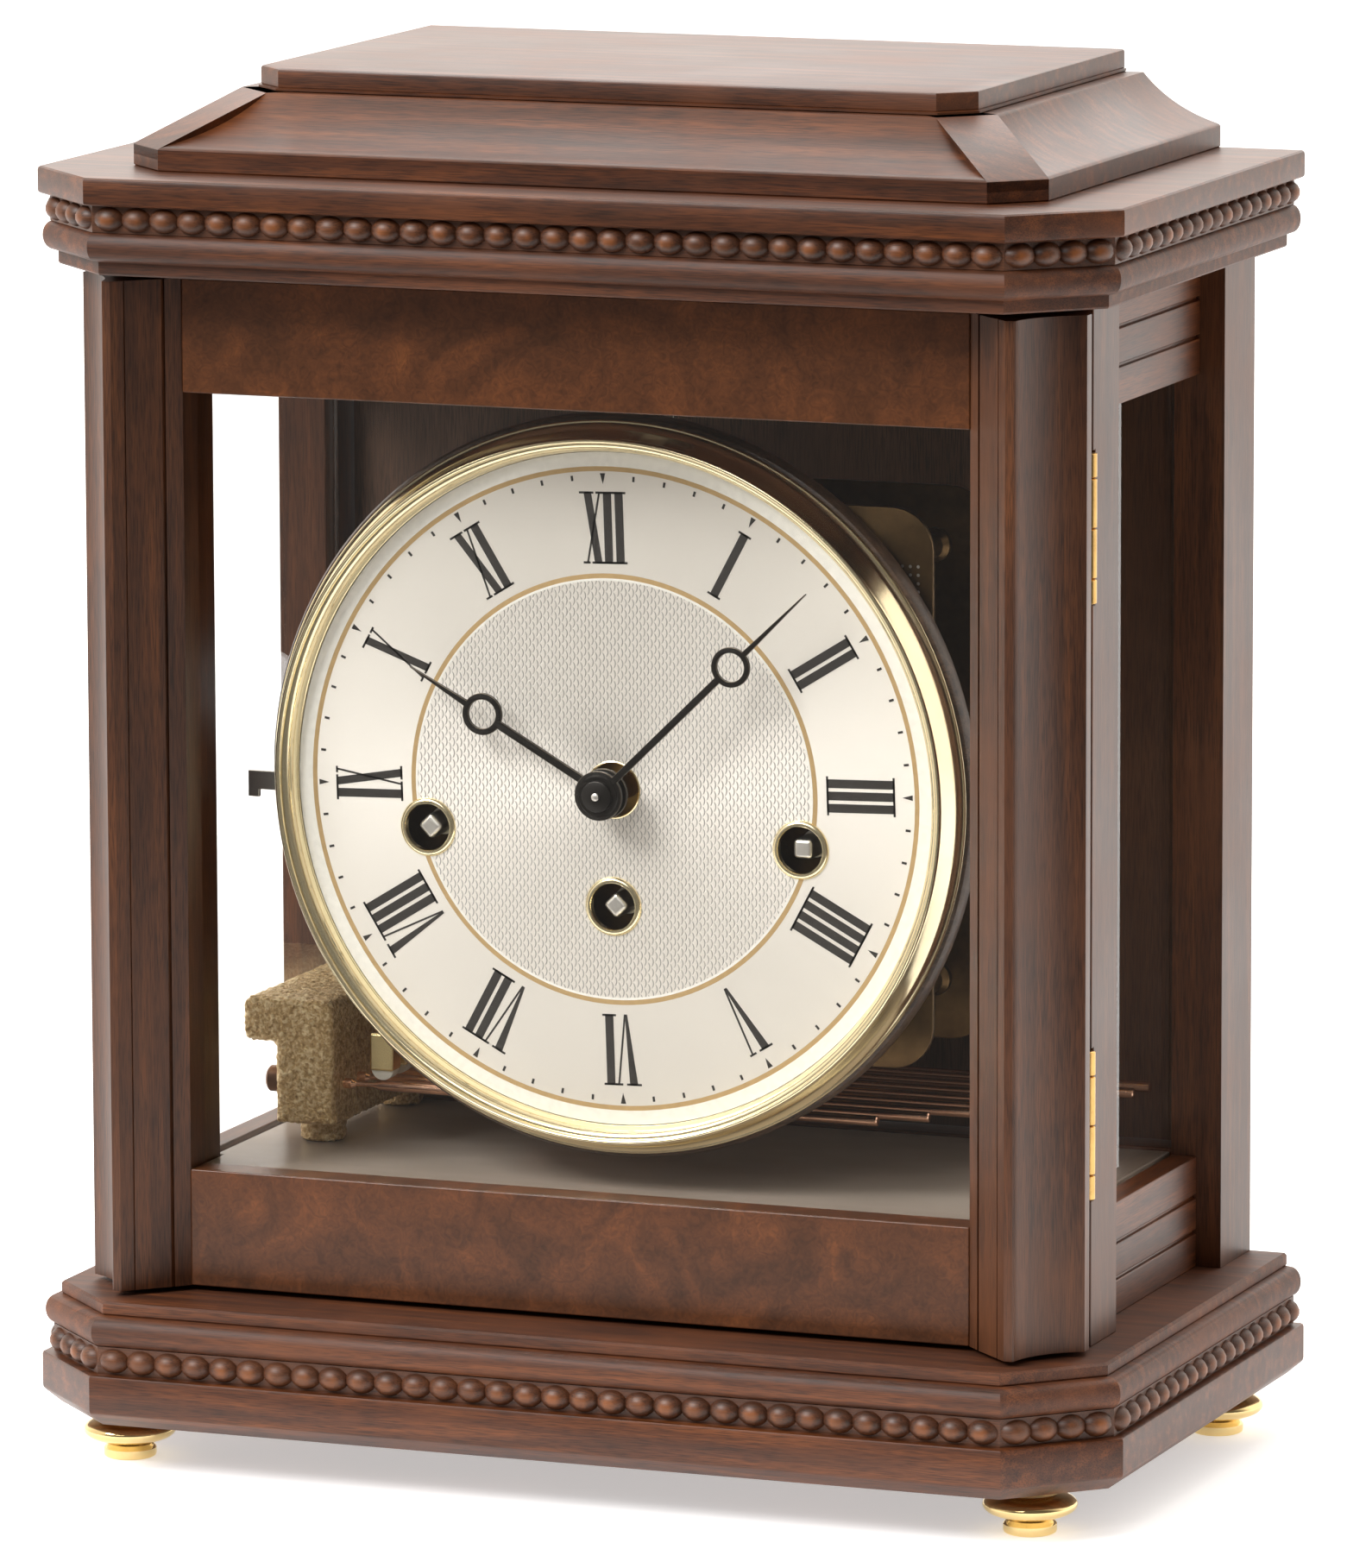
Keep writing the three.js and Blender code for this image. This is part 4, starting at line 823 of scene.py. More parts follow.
def stacked(name: str, rings: Sequence[tuple[Loop, float]]) -> Piece:
    """A closed body through plan outlines of equal length, bottom to top.

    Args:
        name: The piece's name.
        rings: Each an outline of x and y and its height.

    Returns:
        The object.
    """
    body = bmesh.new()
    levels = [[body.verts.new((x, y, z)) for x, y in outline] for outline, z in rings]
    count = len(levels[0])
    for low, high in zip(levels, levels[1:]):
        for i in range(count):
            body.faces.new((low[i - 1], low[i], high[i], high[i - 1]))
    body.faces.new(levels[0])
    body.faces.new(levels[-1])
    bmesh.ops.recalc_face_normals(body, faces=body.faces)
    return from_bmesh(name, body)


def block(name: str, low: Triple, high: Triple) -> Piece:
    """A squared block, which is always eased or carved by its caller."""
    (x0, y0, z0), (x1, y1, z1) = low, high
    return stacked(name, [([(x0, y0), (x1, y0), (x1, y1), (x0, y1)], z) for z in (z0, z1)])


def eased(piece: Piece, width: float, segments: int = 2) -> Piece:
    """Rounds the true corners of a piece; the rounded faces get the second material.

    Args:
        piece: A mesh object of flat faces.
        width: Width of the rounding in millimetres.
        segments: Faces across it.

    Returns:
        The same object.
    """
    body = bmesh.new()
    body.from_mesh(piece.data)
    bmesh.ops.remove_doubles(body, verts=body.verts, dist=1e-6)
    bmesh.ops.dissolve_limit(body, angle_limit=math.radians(0.5), verts=body.verts,
                             edges=body.edges)
    corners = [e for e in body.edges
               if len(e.link_faces) == 2 and e.calc_face_angle(0.0) > math.radians(28)]
    made = bmesh.ops.bevel(
        body, geom=corners, offset=width * MM, offset_type="OFFSET", segments=segments,
        profile=0.5, affect="EDGES", clamp_overlap=True, material=-1)
    for face in made["faces"]:
        face.material_index = 1
    body.to_mesh(piece.data)
    body.free()
    smoothed(piece.data, math.radians(50))
    weighted = piece.modifiers.new("even_light", "WEIGHTED_NORMAL")
    weighted.keep_sharp = True
    return applied(piece)


def applied(piece: Piece) -> Piece:
    """Turns a piece's modifiers into its plain mesh."""
    view = bpy.context.evaluated_depsgraph_get()
    mesh = bpy.data.meshes.new_from_object(piece.evaluated_get(view))
    piece.modifiers.clear()
    piece.data = mesh
    return piece


def copied(node: str, name: str) -> Piece:
    """A merged copy of a CAD node's mesh, ready to be shaped."""
    mesh = frame["nodes"][node].data.copy()
    mesh.materials.clear()
    body = bmesh.new()
    body.from_mesh(mesh)
    bmesh.ops.remove_doubles(body, verts=body.verts, dist=1e-6)
    bpy.data.meshes.remove(mesh)
    return from_bmesh(name, body, scaled=False)


def joint_place(name: str) -> Triple:
    """A point of one joint's axis in millimetres."""
    joint = next(j for j in frame["joints"] if j["name"] == name)
    return tuple(value / MM for value in joint["pos_m"])


def body_of(node: str) -> str:
    """Name of the body that a CAD node moves with."""
    bodies = frame["record"]["behaviour"]["bodies"]
    return next(body for body, nodes in bodies.items() if node in nodes)


def carved(piece: Piece, *tools: Piece) -> Piece:
    """Cuts tools out of a piece and removes them."""
    for tool in tools:
        cut = piece.modifiers.new("cut", "BOOLEAN")
        cut.operation, cut.solver, cut.object = "DIFFERENCE", "EXACT", tool
    applied(piece)
    for tool in tools:
        bpy.data.objects.remove(tool)
    smoothed(piece.data)
    return piece


def painted(piece: Piece, *finishes: Finish) -> Piece:
    """Adds finishes to a piece."""
    for finish in finishes:
        piece.data.materials.append(finish.material())
    return piece


def dressed(
    piece: Piece,
    finishes: Sequence[Finish],
    body: str = "case",
    stands_for: Sequence[str] = (),
) -> Piece:
    """Gives a piece its materials and its place in the frame.

    Args:
        piece: The finished mesh object.
        finishes: Its finishes, in the order of the mesh's material numbers. None keeps
            the materials that the mesh has.
        body: The CAD body that it moves with.
        stands_for: CAD nodes that it replaces.

    Returns:
        The same object.
    """
    if finishes:
        piece.data.materials.clear()
        painted(piece, *finishes)
    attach(piece, body)
    if stands_for:
        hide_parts(*stands_for)
    return piece


def softened(
    node: str, finish: Finish, width: float = 0.45, arris: Finish | None = None
) -> Piece:
    """Replaces a squared CAD node by the same body with its corners eased.

    Args:
        node: The CAD node.
        finish: Finish of the flats.
        width: Width of the easing in millimetres.
        arris: Finish of the eased corners, where it differs.

    Returns:
        The new piece.
    """
    piece = eased(copied(node, node + "_finished"), width)
    return dressed(piece, [finish, arris or finish], body_of(node), [node])


# ------------------------------------------------------------------ geometry node trees
class Repeat:
    """A geometry node tree with named inputs that makes what repeats."""

    def __init__(self, name: str, **inputs: tuple[str, object]) -> None:
        """Starts a tree.

        Args:
            name: The tree's name.
            inputs: Each input's socket type and first value.
        """
        self.tree = bpy.data.node_groups.new(name, "GeometryNodeTree")
        face = self.tree.interface
        face.new_socket(name="Geometry", in_out="INPUT", socket_type="NodeSocketGeometry")
        face.new_socket(name="Geometry", in_out="OUTPUT", socket_type="NodeSocketGeometry")
        inputs["material"] = ("NodeSocketMaterial", None)
        for key, (kind, value) in inputs.items():
            socket = face.new_socket(name=key, in_out="INPUT", socket_type=kind)
            if value is not None:
                socket.default_value = value
        self.inputs = self.tree.nodes.new("NodeGroupInput")
        self.identifiers = {
            item.name: item.identifier for item in face.items_tree
            if item.in_out == "INPUT"}

    def add(self, kind: str, inputs: dict | None = None, **settings: object):
        """Adds one node to this tree."""
        return add_node(self.tree, kind, inputs, **settings)

    def given(self, name: str) -> Socket:
        """The socket of a named input."""
        return self.inputs.outputs[name]

    def close(self, geometry: Socket) -> None:
        """Ends the tree in real meshes with their material."""
        real = self.add("GeometryNodeRealizeInstances", {0: geometry})
        finish = self.add("GeometryNodeSetMaterial", {
            "Geometry": real, "Material": self.given("material")})
        self.add("NodeGroupOutput", {0: finish})

    def grow(
        self,
        name: str,
        seeds: Sequence[Triple],
        edges: Sequence[tuple[int, int]] = (),
        **values: object,
    ) -> Piece:
        """Runs the tree on points and lines and keeps the plain mesh.

        Args:
            name: The piece's name.
            seeds: Points in millimetres.
            edges: Pairs of point numbers.
            values: The tree's inputs.

        Returns:
            The piece.
        """
        mesh = bpy.data.meshes.new(name)
        mesh.from_pydata([Vector(p) * MM for p in seeds], list(edges), [])
        piece = link(name, mesh)
        repeat = piece.modifiers.new("repeat", "NODES")
        repeat.node_group = self.tree
        for key, value in values.items():
            repeat[self.identifiers[key]] = value
        return applied(piece)


def bead_tree() -> Repeat:
    """Beads threaded on the edges of the carrier, one string for each edge.

    Returns:
        The tree. A bead's `crown` attribute is 1 where it faces outward.
    """
    repeat = Repeat("beads_on_a_string", pitch=("NodeSocketFloat", 6.2 * MM),
                    radius=("NodeSocketFloat", 3 * MM), height=("NodeSocketFloat", 5.8 * MM))
    ball = repeat.add("GeometryNodeMeshUVSphere", {
        "Segments": 14, "Rings": 9, "Radius": 1.0})
    smooth = repeat.add("GeometryNodeSetShadeSmooth", {"Geometry": ball})
    normal = repeat.add("GeometryNodeInputNormal")
    outward = repeat.add("ShaderNodeSeparateXYZ", {0: normal})
    crown = repeat.add(MATHS, {0: outward.outputs[1], 1: -1.0}, operation="MULTIPLY")
    kept = repeat.add("GeometryNodeStoreNamedAttribute", {
        "Geometry": smooth, "Name": "crown", "Value": crown},
        data_type="FLOAT", domain="POINT")
    line = repeat.add("GeometryNodeMeshToCurve", {0: repeat.given("Geometry")})
    length = repeat.add("GeometryNodeSplineLength")
    share = repeat.add(MATHS, {0: length.outputs["Length"], 1: repeat.given("pitch")},
                       operation="DIVIDE")
    whole = repeat.add(MATHS, {0: share}, operation="ROUND")
    count = repeat.add(MATHS, {0: whole, 1: 1.0}, operation="ADD")
    places = repeat.add("GeometryNodeResampleCurve", {
        "Curve": line, "Count": count})
    tangent = repeat.add("GeometryNodeInputTangent")
    turn = repeat.add("FunctionNodeAlignRotationToVector", {"Vector": tangent},
                      axis="X", pivot_axis="Z")
    tall = repeat.add(MATHS, {0: repeat.given("height"), 1: 0.5}, operation="MULTIPLY")
    size = repeat.add("ShaderNodeCombineXYZ", {
        0: repeat.given("radius"), 1: repeat.given("radius"), 2: tall})
    beads = repeat.add("GeometryNodeInstanceOnPoints", {
        "Points": places, "Instance": kept,
        "Rotation": turn, "Scale": size})
    repeat.close(beads.outputs[0])
    return repeat


def rim_tree() -> Repeat:
    """Marks, teeth or rays set evenly round a rim, every one or every fifth.

    Returns:
        The tree. It makes blocks, or wedges where `sides` is 3, round the Z axis.
    """
    repeat = Repeat(
        "marks_round_a_rim", count=("NodeSocketInt", 60), radius=("NodeSocketFloat", 0.06),
        sides=("NodeSocketInt", 4), size=("NodeSocketVector", (1.0, 1.0, 1.0)),
        every=("NodeSocketInt", 1), skipping=("NodeSocketInt", 0))
    points = repeat.add("GeometryNodeMeshCircle", {
        "Vertices": repeat.given("count"), "Radius": repeat.given("radius")})
    mark = repeat.add("GeometryNodeMeshCylinder", {
        "Vertices": repeat.given("sides"), "Radius": math.sqrt(0.5), "Depth": 1.0})
    index = repeat.add("GeometryNodeInputIndex")
    part = repeat.add(MATHS, {0: index, 1: repeat.given("every")},
                      operation="MODULO")
    on = repeat.add("FunctionNodeCompare", {0: part, 1: 0.5},
                    operation="LESS_THAN")
    other = repeat.add("FunctionNodeCompare", {0: repeat.given("skipping"), 1: 0.5},
                       operation="GREATER_THAN")
    chosen = repeat.add("FunctionNodeBooleanMath", {
        0: on, 1: other}, operation="XOR")
    place = repeat.add("GeometryNodeInputPosition")
    turn = repeat.add("FunctionNodeAlignRotationToVector", {"Vector": place},
                      axis="X", pivot_axis="Z")
    quarter = repeat.add(MATHS, {0: repeat.given("sides"), 1: 3.5}, operation="GREATER_THAN")
    twist = repeat.add(MATHS, {0: quarter, 1: math.pi / 4}, operation="MULTIPLY")
    spin = repeat.add("ShaderNodeCombineXYZ", {2: twist})
    flat = repeat.add("GeometryNodeTransform", {
        "Geometry": mark, "Rotation": spin})
    marks = repeat.add("GeometryNodeInstanceOnPoints", {
        "Points": points, "Selection": chosen,
        "Instance": flat, "Rotation": turn,
        "Scale": repeat.given("size")})
    repeat.close(marks.outputs[0])
    return repeat


def scatter_tree() -> Repeat:
    """Copies of one small piece, such as a screw, on the carrier's points.

    Returns:
        The tree. Each copy is turned about its own axis by a seeded random angle.
    """
    repeat = Repeat("fittings_on_points", fitting=("NodeSocketObject", None),
                    tilt=("NodeSocketVector", (0.0, 0.0, 0.0)),
                    seed=("NodeSocketInt", 7), loose=("NodeSocketFloat", math.pi))
    part = repeat.add("GeometryNodeObjectInfo", {0: repeat.given("fitting")})
    angle = repeat.add("FunctionNodeRandomValue", {
        2: 0.0, 3: repeat.given("loose"), "Seed": repeat.given("seed")}, data_type="FLOAT")
    spin = repeat.add("ShaderNodeCombineXYZ", {2: angle.outputs[1]})
    own = repeat.add("FunctionNodeEulerToRotation", {0: spin})
    lean = repeat.add("FunctionNodeEulerToRotation", {0: repeat.given("tilt")})
    both = repeat.add("FunctionNodeRotateRotation", {
        0: own, 1: lean}, rotation_space="GLOBAL")
    copies = repeat.add("GeometryNodeInstanceOnPoints", {
        "Points": repeat.given("Geometry"), "Instance": part.outputs["Geometry"],
        "Rotation": both})
    repeat.close(copies.outputs[0])
    return repeat


# ------------------------------------------------------------------ outlines of the case
def cut_plan(half: float, front: float, chamfer: float, rear: float) -> Loop:
    """The case's plan: square at the back and cut at both front corners."""
    return [(-half, rear), (-half, front + chamfer), (-half + chamfer, front),
            (half - chamfer, front), (half, front + chamfer), (half, rear)]


@dataclass(frozen=True)
class CasePlan:
    """The octagon of which every moulding is an offset."""

    half: float
    front: float
    rear: float
    chamfer: float = 19.5
    growth: float = 2 - math.sqrt(2)

    def __call__(self, offset: float, setback: float = 0.0) -> Loop:
        """The outline at one offset outward, its front set back by an extra."""
        return cut_plan(self.half + offset, self.front + setback - offset,
                        self.chamfer + offset * self.growth, self.rear)


PLINTH = Span.of("base_plinth")
PLAN = CasePlan(PLINTH.x1, PLINTH.y0, PLINTH.y1)


def bulge(z0: float, z1: float, seat: float, proud: float, steps: int = 16) -> list[Point]:
    """Offsets and heights of a half-round edge."""
    turn = [math.pi * i / steps for i in range(steps + 1)]
    return [(seat + (proud - seat) * math.sin(a), (z0 + z1) / 2 - (z1 - z0) / 2 * math.cos(a))
            for a in turn]


def moulding(
    name: str, plan: Callable[[float], Loop], profile: Sequence[Point]
) -> Piece:
    """A board whose edge follows a profile of (offset, height) round a plan."""
    return stacked(name, [(plan(offset), z) for offset, z in profile])


def rub(piece: Piece, heights: Sequence[tuple[float, float]]) -> None:
    """Gives the faces between pairs of heights the second material, as rubbed edges."""
    for face in piece.data.polygons:
        z = face.center.z / MM
        if any(low <= z <= high for low, high in heights) and abs(face.normal.z) < 0.99:
            face.material_index = 1


def inset_ends(start: Point, end: Point, by: float) -> tuple[Point, Point]:
    """Both ends of a line moved inward."""
    a, b = Vector(start), Vector(end)
    step = (b - a).normalized() * by
    return tuple(a + step), tuple(b - step)


@dataclass
class BeadRow:
    """A board edged with turned beads, wider than their pitch, so that they merge."""

    node: str
    plan: Callable[[float], Loop]
    backing: float
    centre: float
    pitch: float = 6.2
    radius: float = 3.8

    def build(self, tree: Repeat) -> None:
        """Board and beads."""
        span = Span.of(self.node)
        board = moulding(self.node + "_backing", self.plan,
                         [(self.backing, span.z0), (self.backing, span.z1)])
        dressed(board, [BEADS], "case")
        line = self.plan(self.centre)
        middle = (span.z0 + span.z1) / 2
        seeds, edges = [], []
        for start, end in zip(line, line[1:]):
            count = round(math.dist(start, end) / self.pitch)
            half = math.dist(start, end) / count / 2
            for x, y in inset_ends(start, end, half):
                seeds.append((x, y, middle))
            edges.append((len(seeds) - 2, len(seeds) - 1))
        beads = tree.grow(self.node + "_beads", seeds, edges, pitch=self.pitch * MM,
                          radius=self.radius * MM, height=(span.z1 - span.z0) * MM,
                          material=BEADS.material())
        dressed(beads, (), "case", [self.node])


@dataclass
class Base:
    """Plinth, beads, top board and the four turned feet."""

    torus_seat: float = -3.0
    torus_proud: float = -0.7
    fillet: float = -3.9
    fillet_height: float = 2.9
    bevel_height: float = 3.15
    foot_neck: float = 5.4

    def build(self, beads: Repeat) -> None:
        """All pieces of the base."""
        self.plinth()
        BeadRow("base_bead_moulding", PLAN, backing=-2.3, centre=-3.9).build(beads)
        self.top_board()
        for corner in ("front_left", "front_right", "rear_left", "rear_right"):
            self.foot("foot_" + corner)

    def plinth(self) -> None:
        """The plinth board, bevelled underneath, its arrises rubbed."""
        z0, z1 = PLINTH.z0, PLINTH.z1
        low = z0 + self.bevel_height
        piece = moulding("base_plinth_finished", PLAN, [
            (self.fillet + 0.3, z0), (-0.45, low - 0.45), (-0.1, low), (0.0, low + 0.5),
            (0.0, z1 - 0.7), (-0.2, z1 - 0.2), (-0.7, z1)])
        rub(piece, [(z1 - 0.75, z1), (low - 0.5, low + 0.45)])
        dressed(piece, [ACROSS, ARRIS], "case", ["base_plinth"])

    def top_board(self) -> None:
        """The half-round edge, its little fillet and the flat on which the case stands."""
        span = Span.of("base_top_board")
        top = span.z1 - self.fillet_height
        profile = bulge(span.z0, top, self.torus_seat, self.torus_proud)
        profile += [(self.fillet - 0.25, top + 0.15), (self.fillet, top + 0.5),
                    (self.fillet, span.z1 - 0.5), (self.fillet - 0.5, span.z1)]
        piece = moulding("base_top_board_finished", PLAN, profile)
        rub(piece, [(top - 0.6, top + 0.5), (span.z1 - 0.5, span.z1)])
        # Upward flats take the brighter walnut: painted light from above.
        for face in piece.data.polygons:
            face.material_index = 2 if face.normal.z > 0.99 else face.material_index
        dressed(piece, [MOULDED, ARRIS, TOP_LIT_WALNUT], "case", ["base_top_board"])

    def foot(self, node: str) -> None:
        """A brass foot: a bun between a neck and a low disc."""
        span = Span.of(node)
        x, y, _ = span.middle
        r = (span.x1 - span.x0) / 2
        z = span.z0
        bun = [(r * c, z + 5.9 + 2.6 * s) for c, s in
               ((math.cos(a) ** 0.6, math.sin(a)) for a in
                (math.radians(-66 + 132 * i / 14) for i in range(15)))]
        profile = [(0.0, z), (5.1, z), (5.5, z + 0.3), (5.6, z + 0.8), (5.55, z + 1.9),
                   (5.2, z + 2.4), (4.7, z + 2.8), *bun, (self.foot_neck, z + 8.9),
                   (self.foot_neck, span.z1), (0.0, span.z1)]
        dressed(turned(node + "_turned", profile, (x, y, 0.0), Turning.STANDING, 64),
                [FOOT_BRASS], "case", [node])


@dataclass
class Cornice:
    """Soffit board, beads and top board over the door."""

    setback: float = 1.7
    inset: float = 5.1
    torus_top: float = 6.0
    fillet_height: float = 3.0

    def plan(self, proud: float) -> Loop:
        """Outline of the cornice, as far proud of its fillet."""
        return PLAN(proud - self.inset, self.setback)

    def build(self, beads: Repeat) -> None:
        """All pieces of the cornice."""
        span = Span.of("cornice_soffit_board")
        torus = span.z0 + self.fillet_height
        profile = [(-0.3, span.z0), (0.0, span.z0 + 0.4), (0.0, torus - 0.3),
                   *bulge(torus, span.z1, 0.9, 3.0)]
        soffit = moulding("cornice_soffit_finished", self.plan, profile)
        rub(soffit, [(torus - 0.3, torus + 0.35), (span.z0, span.z0 + 0.4)])
        dressed(soffit, [MOULDED, ARRIS], "case", ["cornice_soffit_board"])
        BeadRow("cornice_bead_moulding", self.plan, backing=1.5, centre=-0.1).build(beads)
        top = Span.of("cornice_top_board")
        z0, z1 = top.z0, top.z1
        board = moulding("cornice_top_finished", self.plan, [
            (3.3, z0), (3.7, z0 + 0.3), (3.8, z0 + 0.8), (3.8, z1 - 0.8), (3.65, z1 - 0.3),
            (3.2, z1)])
        rub(board, [(z0, z0 + 0.7), (z1 - 0.7, z1)])
        dressed(board, [ACROSS, ARRIS], "case", ["cornice_top_board"])


@dataclass
class Lid:
    """Low lid: a band, coves on three sides, flat corner blocks, and a top board."""

    band: float = 4.8
    run: float = 17.1
    sag: float = 2.2
    cut: float = 9.75
    top_cut: float = 6.7
    steps: int = 24
    strip: float = 0.8

    def build(self) -> None:
        """Both pieces of the lid."""
        self.cove_body()
        self.top_board()

    def plan(self, span: Span, inset: float) -> Loop:
        """Outline of the cove at one inset from the band."""
        return cut_plan(span.x1 - inset, span.y0 + inset, self.cut, span.y1)

    def cove_body(self) -> None:
        """Band and coves, with a wedge at each front corner."""
        span = Span.of("lid_cove_body")
        band = span.z0 + self.band
        rise = span.z1 - band
        rings = [(self.plan(span, 0.25), span.z0), (self.plan(span, 0.0), span.z0 + 0.3),
                 (self.plan(span, 0.0), band - 0.35), (self.plan(span, 0.3), band)]
        for i in range(1, self.steps + 1):
            p = i / self.steps
            s = self.sag * 4 * p * (1 - p)
            rings.append((self.plan(span, self.run * p + s * 0.5),
                          band + rise * p - s * 0.5))
        body = stacked("lid_cove", rings)
        wedges = [self.wedge(span, band, side) for side in (1, 3)]
        whole = joined("lid_cove_finished", body, *wedges)
        rub(whole, [(band - 0.35, band + 0.25)])
        dressed(whole, [ACROSS, ARRIS], "case", ["lid_cove_body"])

    def wedge(self, span: Span, band: float, side: int) -> Piece:
        """The flat block at one front corner."""
        def inward(outline: Loop) -> Loop:
            (x0, y0), (x1, y1) = outline[side], outline[side + 1]
            return [(x0, y0), (x1, y1), (x1 * 0.8, y1 * 0.5), (x0 * 0.8, y0 * 0.5)]

        low, high = self.plan(span, 0.0), self.plan(span, self.run)
        return stacked("wedge", [(inward(low), band - self.band / 2),
                                 (inward(low), band - 0.3),
                                 (inward(self.plan(span, 0.3)), band),
                                 (inward(high), span.z1)])

    def top_board(self) -> None:
        """The top board over its narrow strip."""
        span = Span.of("lid_top_board")
        def plan(inset: float) -> Loop:
            return cut_plan(span.x1 - inset, span.y0 + inset, self.top_cut, span.y1)

        z0, z1 = span.z0, span.z1
        piece = moulding("lid_top_finished", plan, [
            (0.3, z0), (0.0, z0 + 0.2), (0.0, z0 + self.strip - 0.15),
            (0.5, z0 + self.strip), (0.4, z0 + self.strip + 0.15), (0.4, z1 - 0.6),
            (0.55, z1 - 0.2), (0.95, z1)])
        rub(piece, [(z0, z0 + self.strip), (z1 - 0.6, z1)])
        dressed(piece, [ACROSS, ARRIS], "case", ["lid_top_board"])


@dataclass
class Carcase:
    """Stiles, posts, rails, side panes, floor and back of the case."""

    def build(self) -> None:
        """All fixed pieces between base and cornice."""
        for side in ("left", "right"):
            softened("front_stile_" + side, UPRIGHT, 0.4, ARRIS)
            softened("rear_post_" + side, UPRIGHT, 0.4, ARRIS)
            softened("side_bottom_rail_" + side, DEEP, 0.3)
            softened("side_top_rail_" + side, DEEP, 0.3)
            softened("side_glass_" + side, GLASS, 0.3)
        softened("floor_board", LACQUER, 0.4)
        softened("back_bottom_rail", ACROSS, 0.5, ARRIS)
        softened("back_top_rail", ACROSS, 0.5, ARRIS)
        # The rear door's lighter walnut is painted light from the side glass.
        softened("rear_door", REAR_LIT_WALNUT, 0.5)


@dataclass
class FrontDoor:
    """Glazed door: two moulded stiles, two veneered rails and a pane."""

    splay: Point = (11.3, 10.7)
    groove_at: Point = (2.9, 2.75)
    hairline_at: Point = (9.1, 8.6)
    fillet: float = 2.1
    step: float = 1.05
    cove_radius: float = 18.0
    cove_depth: float = 13.15
    cove_steps: int = 18
    back_cut: tuple[Point, Point] = ((2.0, 1.45), (3.8, 0.0))  # clears the case as it swings
    side_flat: float = 2.8
    setback: float = 7.7
    hold: float = 4.3

    def build(self, hinges: "Hinges") -> None:
        """All pieces of the door."""
        for side, sign in (("left", -1), ("right", 1)):
            node = "door_stile_" + side
            piece = self.stile(node, sign)
            if sign > 0:
                piece = carved(piece, *hinges.seats())
            dressed(piece, [UPRIGHT, ARRIS], "front_door", [node])
        softened("door_bottom_rail", BURL, 0.35)
        softened("door_top_rail", BURL, 0.35)
        softened("door_glass", GLASS, 0.3)

    def stile(self, node: str, sign: int) -> Piece:
        """One stile extruded from its plan, with the groove and the hairline joint."""
        span = Span.of(node)
        inner, outer = sorted((abs(span.x0), abs(span.x1)))
        back = span.y1
        run, drop = self.splay
        # The splay runs outward and forward from the opening, where the rail's face lies.
        edge = Span.of("door_top_rail").y0
        fx, fy = inner + run, edge - drop
        gx, gy = inner + self.groove_at[0], edge - self.groove_at[1]
        hx, hy = inner + self.hairline_at[0], edge - self.hairline_at[1]
        start = (fx + self.fillet, fy + self.step)
        end = (outer, fy + self.step + self.cove_depth)
        plan = [
            (inner, edge + 0.3), (inner + 0.3, edge), (gx - 0.25, gy + 0.25),
            (gx, gy + 0.85), (gx + 0.3, gy - 0.3),
            (hx - 0.1, hy + 0.1), (hx, hy + 0.4), (hx + 0.12, hy - 0.1),
            (fx - 0.35, fy + 0.33), (fx, fy), (fx + self.fillet - 0.3, fy),
            (fx + self.fillet, fy + 0.3),
            *self.cove(start, end),
            (end[0], end[1] + self.side_flat),
            *[(outer - inward, back - short) for inward, short in self.back_cut],
            (inner + self.hold, back), (inner + self.hold, edge + self.setback),
            (inner, edge + self.setback)]
        outline = [(sign * px, py) for px, py in plan]
        z0, z1 = span.z0, span.z1
        return stacked(node + "_moulded", [(outline, z0), (outline, z1)])

    def cove(self, start: Point, end: Point) -> Loop:
        """The hollow from the fillet back to the side."""
        (x0, y0), (x1, y1) = start, end
        half = math.dist(start, end) / 2
        rise = math.sqrt(self.cove_radius ** 2 - half ** 2)
        cx = (x0 + x1) / 2 + (y1 - y0) / (2 * half) * rise
        cy = (y0 + y1) / 2 - (x1 - x0) / (2 * half) * rise
        a0 = math.degrees(math.atan2(y0 - cy, x0 - cx))
        a1 = math.degrees(math.atan2(y1 - cy, x1 - cx))
        if a1 - a0 > 180:
            a1 -= 360
        if a0 - a1 > 180:
            a1 += 360
        return arc((cx, cy), self.cove_radius, a0, a1, self.cove_steps)


